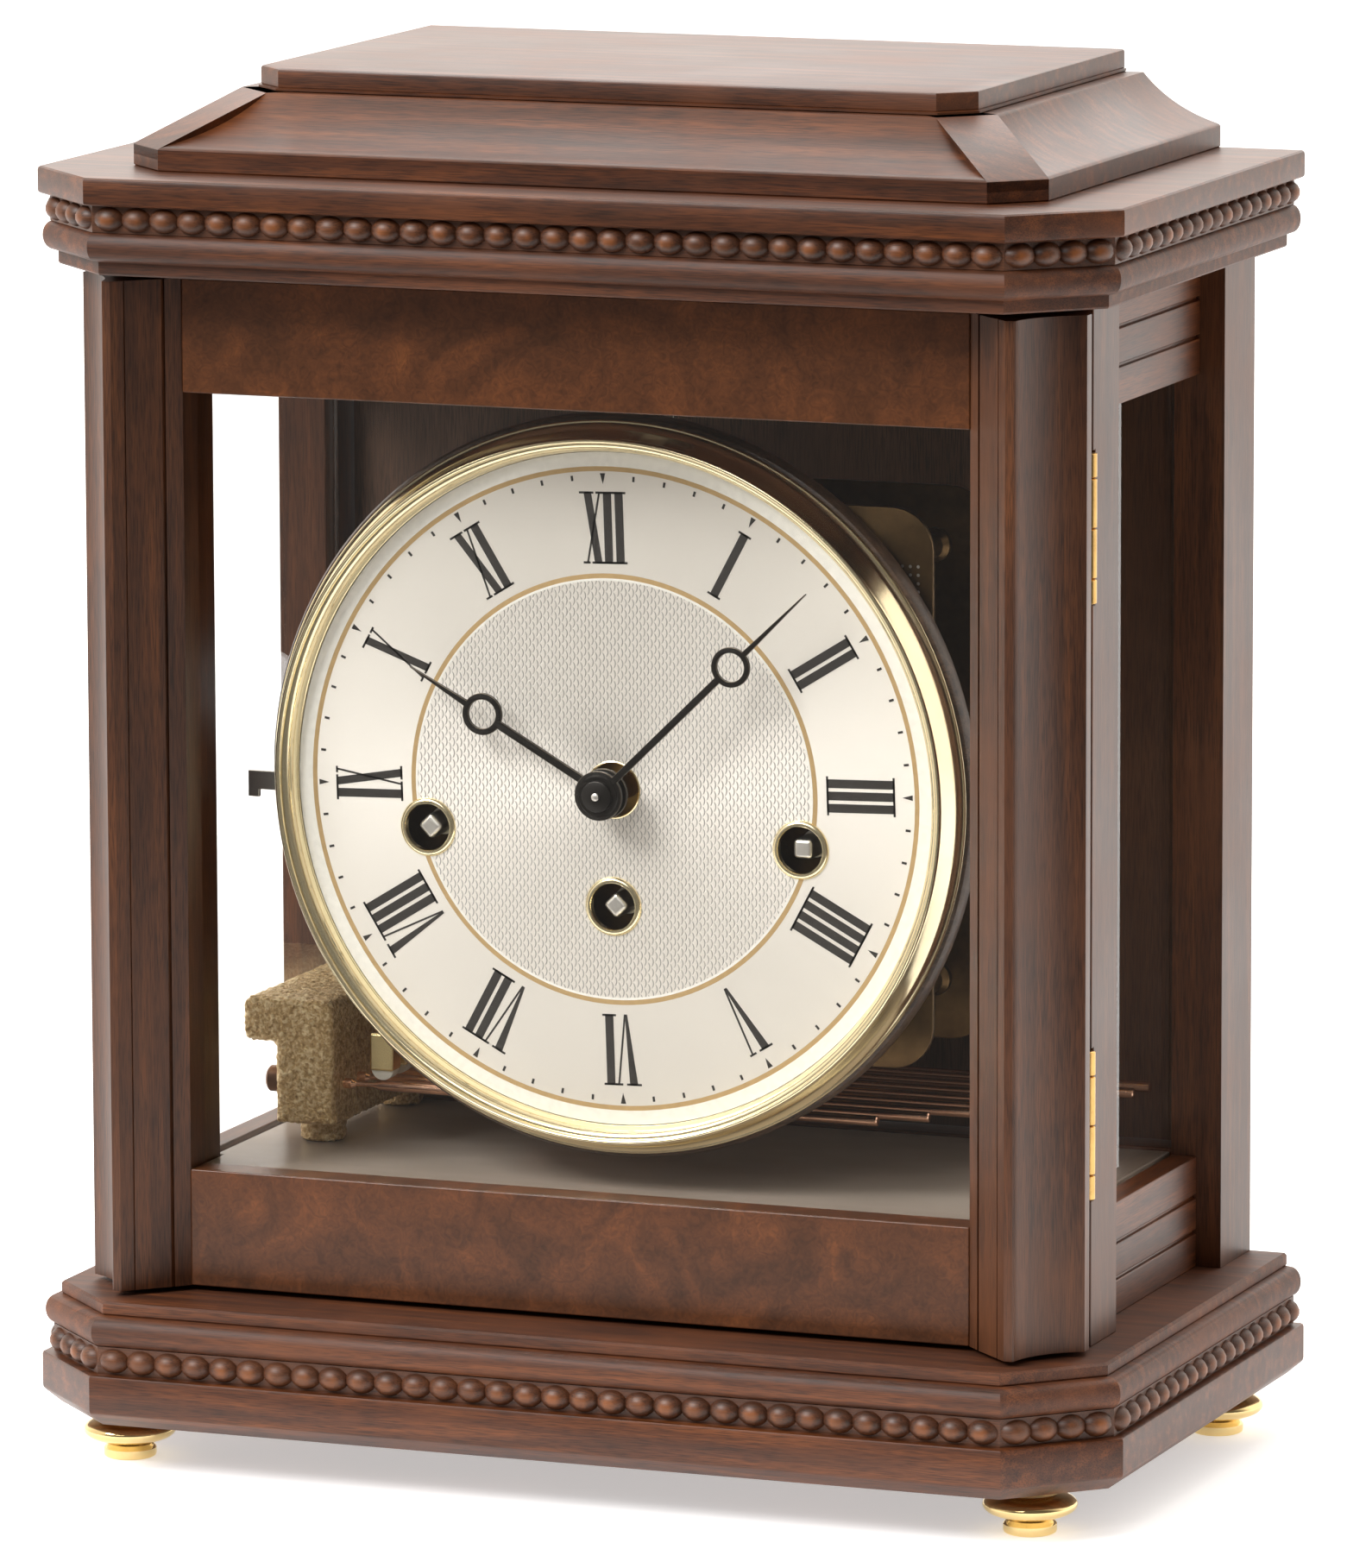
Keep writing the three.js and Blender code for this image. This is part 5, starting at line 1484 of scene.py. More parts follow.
@dataclass
class Hinges:
    """Two brass butt hinges of the front door and the long one of the back door."""

    radius: float = 1.5
    leaf: float = 0.9
    leaf_width: float = 11.0
    shares: tuple[float, ...] = (0.51, 1.0, 1.0, 0.51)
    gap: float = 0.3
    head_radius: float = 1.9
    thin_leaf: float = 0.55
    long_radius: float = 1.3

    def axis(self) -> Point:
        """Plan place of the front door's hinge line."""
        return joint_place("front_door_swing")[:2]

    def seats(self) -> list[Piece]:
        """Tools that cut the seats of the hinges into the door's stile."""
        x, y = self.axis()
        tools = []
        for which in ("lower", "upper"):
            span = Span.of(f"door_hinge_{which}_door_leaf")
            z0, z1 = span.z0 - self.gap, span.z1 + self.gap
            back = Span.of("door_stile_right").y1
            tools.append(turned("seat", ring_profile([
                (self.radius + self.gap, z0), (self.radius + self.gap, z1)]),
                (x, y, 0.0), Turning.STANDING, SMALL_SIDES))
            tools.append(block("mortise", (x - self.leaf_width - self.gap,
                                           back - self.leaf - self.gap, z0),
                               (x + 6, back + 1, z1)))
        return tools

    def build(self, scatter: Repeat) -> None:
        """All leaves, pins and screws."""
        head = self.screw_head(self.head_radius)
        for which in ("lower", "upper"):
            for owner in ("case", "door"):
                self.butt_leaf(which, owner, scatter, head)
        for owner in ("case", "door"):
            self.long_leaf(owner)
        bpy.data.objects.remove(head)

    def knuckles(
        self, x: float, y: float, span: Span, shares: Sequence[float], first: int,
        radius: float,
    ) -> list[Piece]:
        """Every second knuckle of a hinge, as turned barrels with eased ends."""
        total = sum(shares)
        at = span.z0
        parts = []
        for i, share in enumerate(shares):
            length = (span.z1 - span.z0) * share / total
            if i % 2 == first:
                z0, z1, e = at + 0.12, at + length - 0.12, 0.18
                parts.append(turned("knuckle", ring_profile([
                    (radius - e, z0), (radius, z0 + e), (radius, z1 - e), (radius - e, z1)]),
                    (x, y, 0.0), Turning.STANDING, SMALL_SIDES))
            at += length
        return parts

    def butt_leaf(
        self, which: str, owner: str, scatter: Repeat, head: Piece
    ) -> None:
        """One leaf of a butt hinge with its knuckles and three screws."""
        node = f"door_hinge_{which}_{owner}_leaf"
        cased = owner == "case"
        span = Span.of(node)
        x, y = self.axis()
        face = Span.of("front_stile_right").y0 if cased else Span.of("door_stile_right").y1
        y0, y1 = sorted((face, face + (self.leaf if cased else -self.leaf)))
        flat = eased(block("leaf", (x - self.leaf_width, y0, span.z0),
                           (x - self.radius * 0.6, y1, span.z1)), 0.12, 1)
        parts = self.knuckles(x, y, span, self.shares, int(cased), self.radius)
        whole = joined(node + "_brass", flat, *parts)
        dressed(whole, [HINGE_BRASS], body_of(node), [node])
        third = (span.z1 - span.z0) / 3
        seeds = [(x - self.leaf_width * (0.55 + 0.12 * (-1) ** i),
                  face, span.z0 + third * (i + 0.5)) for i in range(3)]
        screws = scatter.grow(node + "_screws", seeds, fitting=head,
                              tilt=FRONTWARD if cased else BACKWARD,
                              material=HINGE_BRASS.material())
        dressed(screws, (), body_of(node))

    def long_leaf(self, owner: str) -> None:
        """One leaf of the long hinge at the back."""
        node = f"rear_hinge_{owner}_leaf"
        cased = owner == "case"
        span = Span.of(node)
        x, y, _ = joint_place("back_door_swing")
        edge = ((span.x1 - self.thin_leaf, span.x1) if cased
                else (span.x0, span.x0 + self.thin_leaf))
        flat = eased(block("leaf", (edge[0], span.y0, span.z0),
                           (edge[1], y - 0.4, span.z1)), 0.1, 1)
        parts = self.knuckles(x, y, span, (1.0,) * 6, int(cased), self.long_radius)
        dressed(joined(node + "_brass", flat, *parts), [HINGE_BRASS],
                body_of(node), [node])

    @staticmethod
    def screw_head(radius: float) -> Piece:
        """A slotted head, flush below the plane z = 0 apart from its low crown."""
        slot = radius * 0.16
        halves = []
        for sign in (-1, 1):
            turn = math.degrees(math.asin(slot / radius))
            start = turn if sign > 0 else 180 + turn
            loop = arc((0.0, 0.0), radius, start, start + 180 - 2 * turn, 12)
            halves.append(stacked("half", [(loop, -0.3), (loop, 0.02),
                                           ([(px * 0.9, py * 0.94) for px, py in loop],
                                            0.1)]))
        seat = turned("seat", ring_profile([(radius * 0.98, -0.6), (radius * 0.98, -0.12)]),
                      (0.0, 0.0, 0.0), Turning.STANDING, 24)
        return joined("screw_head", seat, *halves)


@dataclass(frozen=True)
class HandShape:
    """Sizes of a hand: a tapered arm through an open ring, on a round boss."""

    length: float
    ring_at: float
    ring: float
    eye: float
    boss: float
    arm: float


HOUR_SHAPE = HandShape(length=49.4, ring_at=30.9, ring=4.4, eye=3.05, boss=5.3, arm=1.7)
MINUTE_SHAPE = HandShape(length=63.7, ring_at=40.8, ring=4.2, eye=3.0, boss=5.2, arm=1.5)


@dataclass
class Dial:
    """Wooden ring, silvered plate with its printing, bezel, eyelets and hands."""

    turned_by: float = 1.77
    print_radii: tuple[float, ...] = (67.5, 66.5, 45.2, 44.2, 43.7)
    numeral_top: float = 62.2
    numeral_height: float = 15.0
    thick: float = 1.8
    hair: float = 0.4
    serif: float = 0.44
    ring_bore: float = 58.0
    ring_feet: float = 62.0
    ring_rebate: float = 1.6
    ring_depth: float = 5.0
    hour_angle: float = 299.5
    minute_angle: float = 45.9
    holes: dict[str, Point] = field(default_factory=dict)

    def __post_init__(self) -> None:
        """Reads the dial's place from the frame."""
        plate_span = Span.of("dial_plate")
        self.x, _, self.z = Span.of("bezel").middle
        self.face = Span.of("hour_hand").y0 + 5.8
        self.back = plate_span.y1
        self.radius = (plate_span.x1 - plate_span.x0) / 2
        for side in ("left", "centre", "right"):
            x, _, z = Span.of("winding_arbor_" + side).middle
            self.holes[side] = (x, z)

    def build(self, rim: Repeat) -> None:
        """All pieces of the dial."""
        self.ring()
        self.plate()
        self.printing()
        self.numerals()
        self.marks(rim)
        self.bezel()
        self.hour_hand()
        self.minute_hand()

    def turned_here(self, name: str, profile: Sequence[Point], sides: int = ROUND_SIDES,
                    at: Point | None = None) -> Piece:
        """Turns a profile of (radius, y) about the dial's axis or another parallel one."""
        x, z = at or (self.x, self.z)
        return turned(name, profile, (x, 0.0, z), Turning.FACING, sides)

    def ring(self) -> None:
        """The dark wooden ring behind the bezel, on four turned feet."""
        span = Span.of("dial_ring")
        outer = (span.x1 - span.x0) / 2
        front = span.y0
        step = front + self.ring_rebate
        back = step + self.ring_depth
        inner = self.ring_bore
        profile = [
            (inner, front), (self.radius, front), (self.radius, step - 0.05),
            (outer - 1.4, step), (outer - 0.5, step + 0.3), (outer, step + 1.2),
            (outer, back - 0.6), (outer - 0.6, back), (inner, back)]
        parts = [self.turned_here("ring", profile, 128)]
        for degrees in (45, 135, 225, 315):
            a = math.radians(degrees)
            at = (self.x + self.ring_feet * math.cos(a), self.z + self.ring_feet * math.sin(a))
            parts.append(self.turned_here("foot", ring_profile([
                (2.5, back - 0.3), (2.5, span.y1 - 0.6), (3.0, span.y1 - 0.2),
                (3.0, span.y1)]), SMALL_SIDES, at))
        dressed(joined("dial_ring_turned", *parts), [DARK_WALNUT], "case",
                ["dial_ring"])

    def plate(self) -> None:
        """The silvered plate with its holes, and the brass eyelets."""
        holes = [circle(x, z, 5.2) for x, z in self.holes.values()]
        holes.append(circle(self.x, self.z, 5.7, 48))
        disc = plate("dial_plate_silvered", circle(self.x, self.z, self.radius, 128),
                     holes, self.face, self.back)
        silver = Silvering("silvered_dial_plate", centre=(self.x, self.z))
        dressed(disc, [silver], "case", ["dial_plate"])
        f = self.face
        for side, at in self.holes.items():
            profile = [(4.9, self.back), (4.9, f - 0.45), (5.05, f - 0.65),
                       (5.35, f - 0.7), (5.75, f - 0.62), (6.05, f - 0.35),
                       (6.25, f - 0.02), (6.25, f), (5.3, f + 0.05),
                       (5.25, self.back)]
            dressed(self.turned_here("eyelet_" + side, profile, 64, at), [BEZEL_BRASS],
                    "case")
        profile = [(5.7, f + 0.9), (5.7, f - 0.12), (5.85, f - 0.22), (6.05, f - 0.12),
                   (6.1, f), (5.75, f + 0.02), (5.75, f + 0.9)]
        dressed(self.turned_here("eyelet_middle", profile, 64), [BEZEL_BRASS],
                "case")

    def annulus(self, name: str, outer: float, inner: float, layer: int,
                finish: Finish, holes: Sequence[Loop] = (), bored: bool = False) -> None:
        """A printed band or field between two radii, bored where an eyelet meets it."""
        cut_out = [circle(self.x, self.z, inner, 128)] if inner else []
        front = self.face - LIFT * layer
        piece = plate(name, circle(self.x, self.z, outer, 128), [*cut_out, *holes],
                      front, self.face - 0.005)
        if bored:
            f = self.face
            piece = carved(piece, *[self.turned_here("bore", ring_profile([
                (5.7, f - 1), (5.7, f + 1)]), 64, self.holes[side])
                for side in ("left", "right")])
        dressed(piece, [finish], "case")

    def printing(self) -> None:
        """White outer zone, two gold rings, a white line and the engine-turned middle."""
        outer, gold, ring, ring_in, field_edge = self.print_radii
        self.annulus("dial_print_outer_zone", 70.5, outer, 1, WHITE_INK)
        self.annulus("dial_print_outer_gold", outer, gold, 1, GOLD_INK)
        self.annulus("dial_print_inner_gold", ring, ring_in, 1, GOLD_INK, bored=True)
        self.annulus("dial_print_white_line", ring_in, field_edge, 2, WHITE_INK, bored=True)
        middle = Silvering("silvered_engine_turned", centre=(self.x, self.z),
                           colour="f0eae2", metallic=0.35, scales=True)
        inside = [circle(*self.holes["centre"], 6.3)]
        self.annulus("dial_engine_turned_field", field_edge, 6.1, 1, middle, inside, True)

    def stroke(self, low: Point, high: Point) -> Loop:
        """A slanting stroke between an edge pair at the foot and one at the head."""
        h = self.numeral_height
        return [(low[0], 0.0), (low[1], 0.0), (high[1], h), (high[0], h)]

    def letters(self, text: str) -> tuple[list[Loop], float]:
        """Strokes and serifs of a Roman numeral, upright, from x = 0.

        Args:
            text: The numeral, of the letters I, V and X.

        Returns:
            The outlines, and the width.
        """
        t, h, s, top = self.thick, self.hair, self.serif, self.numeral_height
        loops: list[Loop] = []
        at = 0.0

        def bar(x0: float, x1: float, y: float) -> None:
            loops.append([(x0, y), (x1, y), (x1, y + s), (x0, y + s)])

        for letter in text:
            if letter == "I":
                loops.append(self.stroke((at, at + t), (at, at + t)))
                for y in (0.0, top - s):
                    bar(at - 0.62, at + t + 0.62, y)
                at += t + 0.75
            elif letter == "V":
                loops.append(self.stroke((at + 2.0, at + 2.5), (at, at + t)))
                loops.append(self.stroke((at + 2.3, at + 2.3 + h), (at + 4.1, at + 4.1 + h)))
                bar(at - 0.8, at + t + 0.7, top - s)
                bar(at + 3.35, at + 4.95, top - s)
                at += 5.1
            else:
                loops.append(self.stroke((at + 2.0, at + 3.65), (at - 0.1, at + 1.55)))
                loops.append(self.stroke((at + 0.15, at + 0.15 + h),
                                         (at + 3.2, at + 3.2 + h)))
                bar(at - 1.1, at + 2.1, top - s)
                bar(at + 2.55, at + 3.9, top - s)
                bar(at - 0.55, at + 0.95, 0.0)
                bar(at + 1.4, at + 4.2, 0.0)
                at += 4.2
        return loops, at - 0.75

    def numerals(self) -> None:
        """Twelve radial numerals, their heads outward."""
        words = ("XII", "I", "II", "III", "IIII", "V", "VI", "VII", "VIII", "IX", "X",
                 "XI")
        parts = []
        for hour, text in enumerate(words):
            loops, width = self.letters(text)
            foot = self.numeral_top - self.numeral_height
            for loop in loops:
                upright = [(px - width / 2, py + foot) for px, py in loop]
                placed = self.on_dial(upright, -30 * hour + self.turned_by)
                parts.append(plate("stroke", placed, (), self.face - 2 * LIFT,
                                   self.face - 0.005))
        dressed(joined("dial_print_numerals", *parts), [INK], "case")

    def marks(self, rim: Repeat) -> None:
        """Minute dashes, with a small wedge at every fifth minute."""
        shapes = (("dashes", 4, (1.1, 0.5, 2 * LIFT), 1, 65.2),
                  ("wedges", 3, (-2.1, 0.95, 2 * LIFT), 0, 65.3))
        for word, sides, size, skipping, radius in shapes:
            piece = rim.grow("dial_print_" + word, [(0.0, 0.0, 0.0)], count=60,
                             radius=radius * MM, sides=sides,
                             size=tuple(v * MM for v in size), every=5,
                             skipping=skipping, material=INK.material())
            turn = Matrix.Rotation(math.radians(self.turned_by), 4, "Z")
            face = Matrix(((1, 0, 0), (0, 0, 1), (0, 1, 0))).to_4x4()
            place = Matrix.Translation(Vector((self.x, self.face - LIFT, self.z)) * MM)
            piece.data.transform(place @ face @ turn)
            piece.data.flip_normals()
            dressed(piece, (), "case")

    def bezel(self) -> None:
        """Spun brass bezel: an inner cove, a quirk, a bead, a slope and a back flange."""
        f = self.face
        back = Span.of("bezel").y1
        r = (Span.of("bezel").x1 - Span.of("bezel").x0) / 2
        front = Span.of("bezel").y0
        inner = [(70.75 + 1.95 * (1 - math.cos(a)), f - 0.7 - 3.6 * math.sin(a))
                 for a in (math.radians(90 * i / 12) for i in range(13))]
        outer = [(73.42 + 0.66 * math.cos(a), front + 0.75 - 0.75 * math.sin(a))
                 for a in (math.radians(175 - 165 * i / 12) for i in range(13))]
        profile = [
            (70.6, back), (70.6, f - 0.4), (70.65, f - 0.62), *inner, (72.72, f - 4.2),
            *outer, (74.12, front + 1.1), (74.3, front + 2.2), (74.6, front + 3.6),
            (74.95, front + 4.9), (r + 0.3, front + 6.0), (r + 1.0, back - 1.2),
            (r + 1.4, back - 0.95), (r + 1.7, back - 0.95), (r + 1.9, back - 0.75),
            (r + 1.95, back - 0.4), (r + 1.9, back)]
        dressed(self.turned_here("bezel_spun", profile, 160), [BEZEL_BRASS],
                "case", ["bezel"])

    def on_dial(self, loop: Loop, degrees: float) -> Loop:
        """An outline drawn from the dial's middle, turned anticlockwise and set in place."""
        turn = math.radians(degrees)
        cos, sin = math.cos(turn), math.sin(turn)
        return [(self.x + u * cos - v * sin, self.z + u * sin + v * cos) for u, v in loop]

    def hand_loops(self, shape: HandShape, angle: float) -> tuple[Loop, Loop]:
        """Outline and eye of a hand at its angle, clockwise from twelve."""
        at, ring, arm = shape.ring_at, shape.ring, shape.arm
        ring_half = math.degrees(math.asin(arm / 2 / ring))
        boss_half = math.degrees(math.asin(arm / 2 / shape.boss))
        tip_half = ring_half * 0.8
        outline = arc((0.0, 0.0), shape.boss, 90 + boss_half, 450 - boss_half, 40)
        outline += arc((0.0, at), ring, -90 + ring_half, 90 - tip_half, 24)
        shoulder = at + ring + 2
        outline += [(arm * 0.36, shoulder), (0.12, shape.length), (-0.12, shape.length),
                    (-arm * 0.36, shoulder)]
        outline += arc((0.0, at), ring, 90 + tip_half, 270 - ring_half, 24)
        hole = circle(0.0, at, shape.eye, 40)
        return self.on_dial(outline, -angle), self.on_dial(hole, -angle)

    def hand(self, name: str, loops: tuple[Loop, Loop], front: float) -> Piece:
        """A stamped hand with an eased, brighter edge."""
        piece = plate(name, loops[0], [loops[1]], front, front + 0.8, 0.1)
        for face in piece.data.polygons:
            face.material_index = 1 if 0.15 < abs(face.normal.y) < 0.93 else 0
        return painted(piece, BLACKED, HAND_EDGE)

    def collar(self, points: Sequence[Point], finish: Finish, sides: int = 64
               ) -> Piece:
        """A turned part of a hand on the dial's axis."""
        return painted(self.turned_here("collar", ring_profile(points), sides), finish)

    def hour_hand(self) -> None:
        """Hour hand with its pipe and wheel."""
        front = Span.of("hour_hand").y0
        back = Span.of("hour_hand").y1
        loops = self.hand_loops(HOUR_SHAPE, self.hour_angle)
        plate_front = Span.of("movement_front_plate").y0
        parts = [
            self.hand("hour", loops, front),
            self.collar([(4.0, front - 0.35), (4.2, front - 0.15), (4.2, front + 3.0),
                         (4.0, front + 3.2)], BLACKED),
            self.collar([(2.8, front + 3.0), (2.8, back)], PLATE_BRASS),
            self.collar([(11.0, plate_front - 2.6), (11.0, plate_front - 1.6)],
                        PLATE_BRASS)]
        dressed(joined("hour_hand_blacked", *parts), (),
                body_of("hour_hand"), ["hour_hand"])

    def minute_hand(self) -> None:
        """Minute hand with its collar, nut and pin."""
        span = Span.of("minute_hand")
        front = span.y0 + 1.9
        loops = self.hand_loops(MINUTE_SHAPE, self.minute_angle)
        parts = [
            self.hand("minute", loops, front),
            self.collar([(4.1, front - 0.3), (4.4, front - 0.05), (4.4, front + 1.7),
                         (4.2, front + 1.9)], BLACKED),
            self.collar([(2.9, front - 1.2), (3.2, front - 1.05), (3.3, front - 0.8),
                         (3.3, front - 0.2)], BLACKED),
            self.collar([(0.55, front - 1.85), (0.8, front - 1.7), (0.8, front - 1.0)],
                        STEEL, SMALL_SIDES),
            self.collar([(1.3, front), (1.3, span.y1)], STEEL, SMALL_SIDES)]
        dressed(joined("minute_hand_blacked", *parts), (),
                body_of("minute_hand"), ["minute_hand"])


@dataclass
class Movement:
    """Plates, pillars, spring barrels, balance, hanger and silencing lever."""

    corner: float = 9.0
    left_cut: Triple = (26.0, 40.0, 34.0)  # width, height at the top, height at the bottom
    between: float = 33.35
    sheet: float = 1.5
    dot_radius: float = 0.42
    barrel_front: float = 2.5
    barrel_back: float = 4.5

    def build(self, rim: Repeat, scatter: Repeat, dial: Dial) -> None:
        """All pieces of the movement."""
        self.dial = dial
        self.plates(scatter)
        for side in ("left", "centre", "right"):
            self.barrel(side, rim)
        self.balance(rim)
        softened("movement_hanger", STEEL, 0.25)
        softened("silence_lever", STEEL, 0.25)
        softened("door_catch", STEEL, 0.3)

    def outline(self, span: Span) -> Loop:
        """A plate's outline: round corners at the right, cut corners at the left."""
        r = self.corner
        x0, x1, z0, z1 = span.x0, span.x1, span.z0, span.z1
        wide, high, low = self.left_cut
        return (arc((x1 - r, z0 + r), r, -90, 0, 12) + arc((x1 - r, z1 - r), r, 0, 90, 12)
                + [(x0 + wide, z1), (x0, z1 - high), (x0, z0 + low), (x0 + wide, z0)])

    def plates(self, scatter: Repeat) -> None:
        """Front and back plate, pillars, arbor of the hammers and screws."""
        front = Span.of("movement_front_plate")
        back = Span.of("movement_back_plate")
        hx, _, hz = joint_place("hammer_1_lift")
        arbors = [circle(x, z, 3.2) for x, z in self.dial.holes.values()]
        middle = circle(self.dial.x, self.dial.z, 3.1)
        piece = plate("movement_front_plate_brass", self.outline(front),
                      [*arbors, middle, circle(hx, hz, 1.7)], front.y0, front.y1, 0.2)
        # The plate's faces get the dark brass of painted shade; its edges stay bright brass.
        for face in piece.data.polygons:
            face.material_index = 1 if abs(face.normal.y) < 0.98 else 0
        dressed(piece, [SHADED_BRASS, PLATE_BRASS], "case",
                ["movement_front_plate"])
        y0 = front.y1 + self.between
        pivots = [circle(x, z, 2.33) for x, z in self.dial.holes.values()]
        y1 = y0 + self.sheet
        # Back plate and pillars in the dark brass of painted shade.
        parts = [painted(plate("back", self.outline(back), pivots, y0, y1, 0.2), SHADED_BRASS)]
        pillars = [(x, z) for x in (back.x0 + 33.0, back.x1 - 12.0)
                   for z in (back.z0 + 12.8, back.z1 - 12.4)]
        for at in pillars:
            parts.append(painted(self.rod(at, [
                (3.6, front.y1), (3.6, front.y1 + 1.6), (2.6, front.y1 + 3.0),
                (3.0, front.y1 + 9.0), (3.0, y0 - 9.0), (2.6, y0 - 3.0),
                (3.6, y0 - 1.6), (3.6, y0)]), SHADED_BRASS))
        arbor = self.rod((hx, hz), [(1.4, front.y0 + 0.3), (1.4, back.y1)])
        bx, _, bz = Span.of("balance_wheel").middle
        stud = self.rod((bx, bz), [(1.2, y0 + 0.5), (1.2, y0 + 7.0), (0.8, y0 + 7.4)])
        parts += [painted(arbor, PLATE_BRASS), painted(stud, PLATE_BRASS)]
        dressed(joined("movement_back_plate_brass", *parts), (), "case",
                ["movement_back_plate"])
        head = Hinges.screw_head(3.0)
        for word, y, tilt in (("front", front.y0, FRONTWARD), ("back", y1, BACKWARD)):
            screws = scatter.grow(f"movement_{word}_screws", [(x, y, z) for x, z in pillars],
                                  fitting=head, tilt=tilt, material=STEEL.material())
            dressed(screws, (), "case")
        bpy.data.objects.remove(head)
        self.bright_dots(scatter, front)

    def bright_dots(self, scatter: Repeat, front: Span) -> None:
        """Rows of small bright steel dots near the plate's upper right corner."""
        r = self.dot_radius
        dot = turned("dot", ring_profile([(r, -0.05), (r * 0.7, 0.06)]), (0.0, 0.0, 0.0),
                     Turning.STANDING, 8)
        seeds = [(front.x1 - 3.2 - 1.75 * i, front.y0, front.z1 - 12.0 - 1.75 * k)
                 for i in range(9) for k in range(14)]
        dots = scatter.grow("movement_punch_marks", seeds, fitting=dot,
                            tilt=FRONTWARD, material=STEEL.material())
        bpy.data.objects.remove(dot)
        dressed(dots, (), "case")

    def rod(self, at: Point, points: Sequence[Point], sides: int = SMALL_SIDES
            ) -> Piece:
        """A turned rod parallel to the dial's axis."""
        return self.dial.turned_here("rod", ring_profile(points), sides, at)

    def barrel(self, side: str, rim: Repeat) -> None:
        """A spring barrel with its toothed rim and squared winding arbor."""
        node = "winding_arbor_" + side
        span = Span.of(node)
        at = self.dial.holes[side]
        r = (span.x1 - span.x0) / 2
        front = Span.of("movement_front_plate").y1 + self.barrel_front
        back = span.y1 - self.barrel_back
        tip = span.y0
        drum = self.rod(at, [
            (r - 1.6, front), (r - 1.2, front + 0.4), (r - 1.2, front + 1.6),
            (r - 0.9, front + 1.6), (r - 0.9, front + 4.0), (r - 1.2, front + 4.0),
            (r - 1.2, back - 0.4), (r - 1.6, back)], 96)
        arbor = self.rod(at, [(2.9, tip + 7.4), (2.9, back)])
        pivot = self.rod(at, [(2.0, back), (2.0, span.y1)])
        teeth = self.set_round(rim, (at[0], front + 2.8, at[1]), count=84, sides=4,
                               radius=(r - 0.75) * MM, size=(1.5 * MM, 0.75 * MM, 2.0 * MM))
        painted(drum, PLATE_BRASS)
        square = self.square(at, tip, side != "right")
        for piece in (arbor, pivot, square):
            painted(piece, STEEL)
        dressed(joined(node + "_turned", drum, teeth, arbor, pivot, square), (),
                body_of(node), [node])

    @staticmethod
    def set_round(rim: Repeat, place: Triple, **values: object) -> Piece:
        """Brass teeth or nuts set round a wheel that faces the front.

        Args:
            rim: The tree that sets them.
            place: The wheel's middle.
            values: The tree's other inputs, in metres.

        Returns:
            The piece.
        """
        piece = rim.grow("set_round", [(0.0, 0.0, 0.0)], every=1, skipping=0,
                         material=PLATE_BRASS.material(), **values)
        piece.data.transform(Matrix.Translation(Vector(place) * MM) @ STOOD_UP)
        return piece

    def square(self, at: Point, tip: float, on_edge: bool) -> Piece:
        """The winding square with cushioned end and eased corners."""
        size = 2.1
        shape = block("square", (-size, tip, -size), (size, tip + 8.0, size))
        eased(shape, 0.95, 3)
        turn = Matrix.Rotation(math.pi / 4 if on_edge else 0.0, 4, "Y")
        place = Matrix.Translation(Vector((at[0], 0.0, at[1])) * MM)
        shape.data.transform(place @ turn)
        return shape

    def balance(self, rim: Repeat) -> None:
        """Balance wheel with its rim screws."""
        node = "balance_wheel"
        span = Span.of(node)
        x, _, z = span.middle
        y = span.y0
        r = (span.x1 - span.x0) / 2
        hoop = self.dial.turned_here("hoop", [
            (r - 1.5, y + 0.5), (r - 0.5, y + 0.5), (r - 0.35, y + 0.7), (r - 0.35, y + 2.6),
            (r - 0.5, y + 2.8), (r - 1.5, y + 2.8)], 96, (x, z))
        spoke = eased(block("spoke", (x - r + 1, y + 1.0, z - 0.9),
                            (x + r - 1, y + 2.0, z + 0.9)), 0.2)
        hub = self.dial.turned_here("hub", [
            (1.5, y), (2.2, y), (2.6, y + 0.4), (2.6, y + 3.0), (2.2, y + 3.4),
            (1.5, y + 3.4)], SMALL_SIDES, (x, z))
        nuts = self.set_round(rim, (x, y + 1.6, z), count=12, sides=8,
                              radius=(r - 0.55) * MM, size=(0.9 * MM, 1.0 * MM, 1.0 * MM))
        dressed(joined(node + "_brass", hoop, spoke, hub, nuts), [PLATE_BRASS],
                body_of(node), [node])


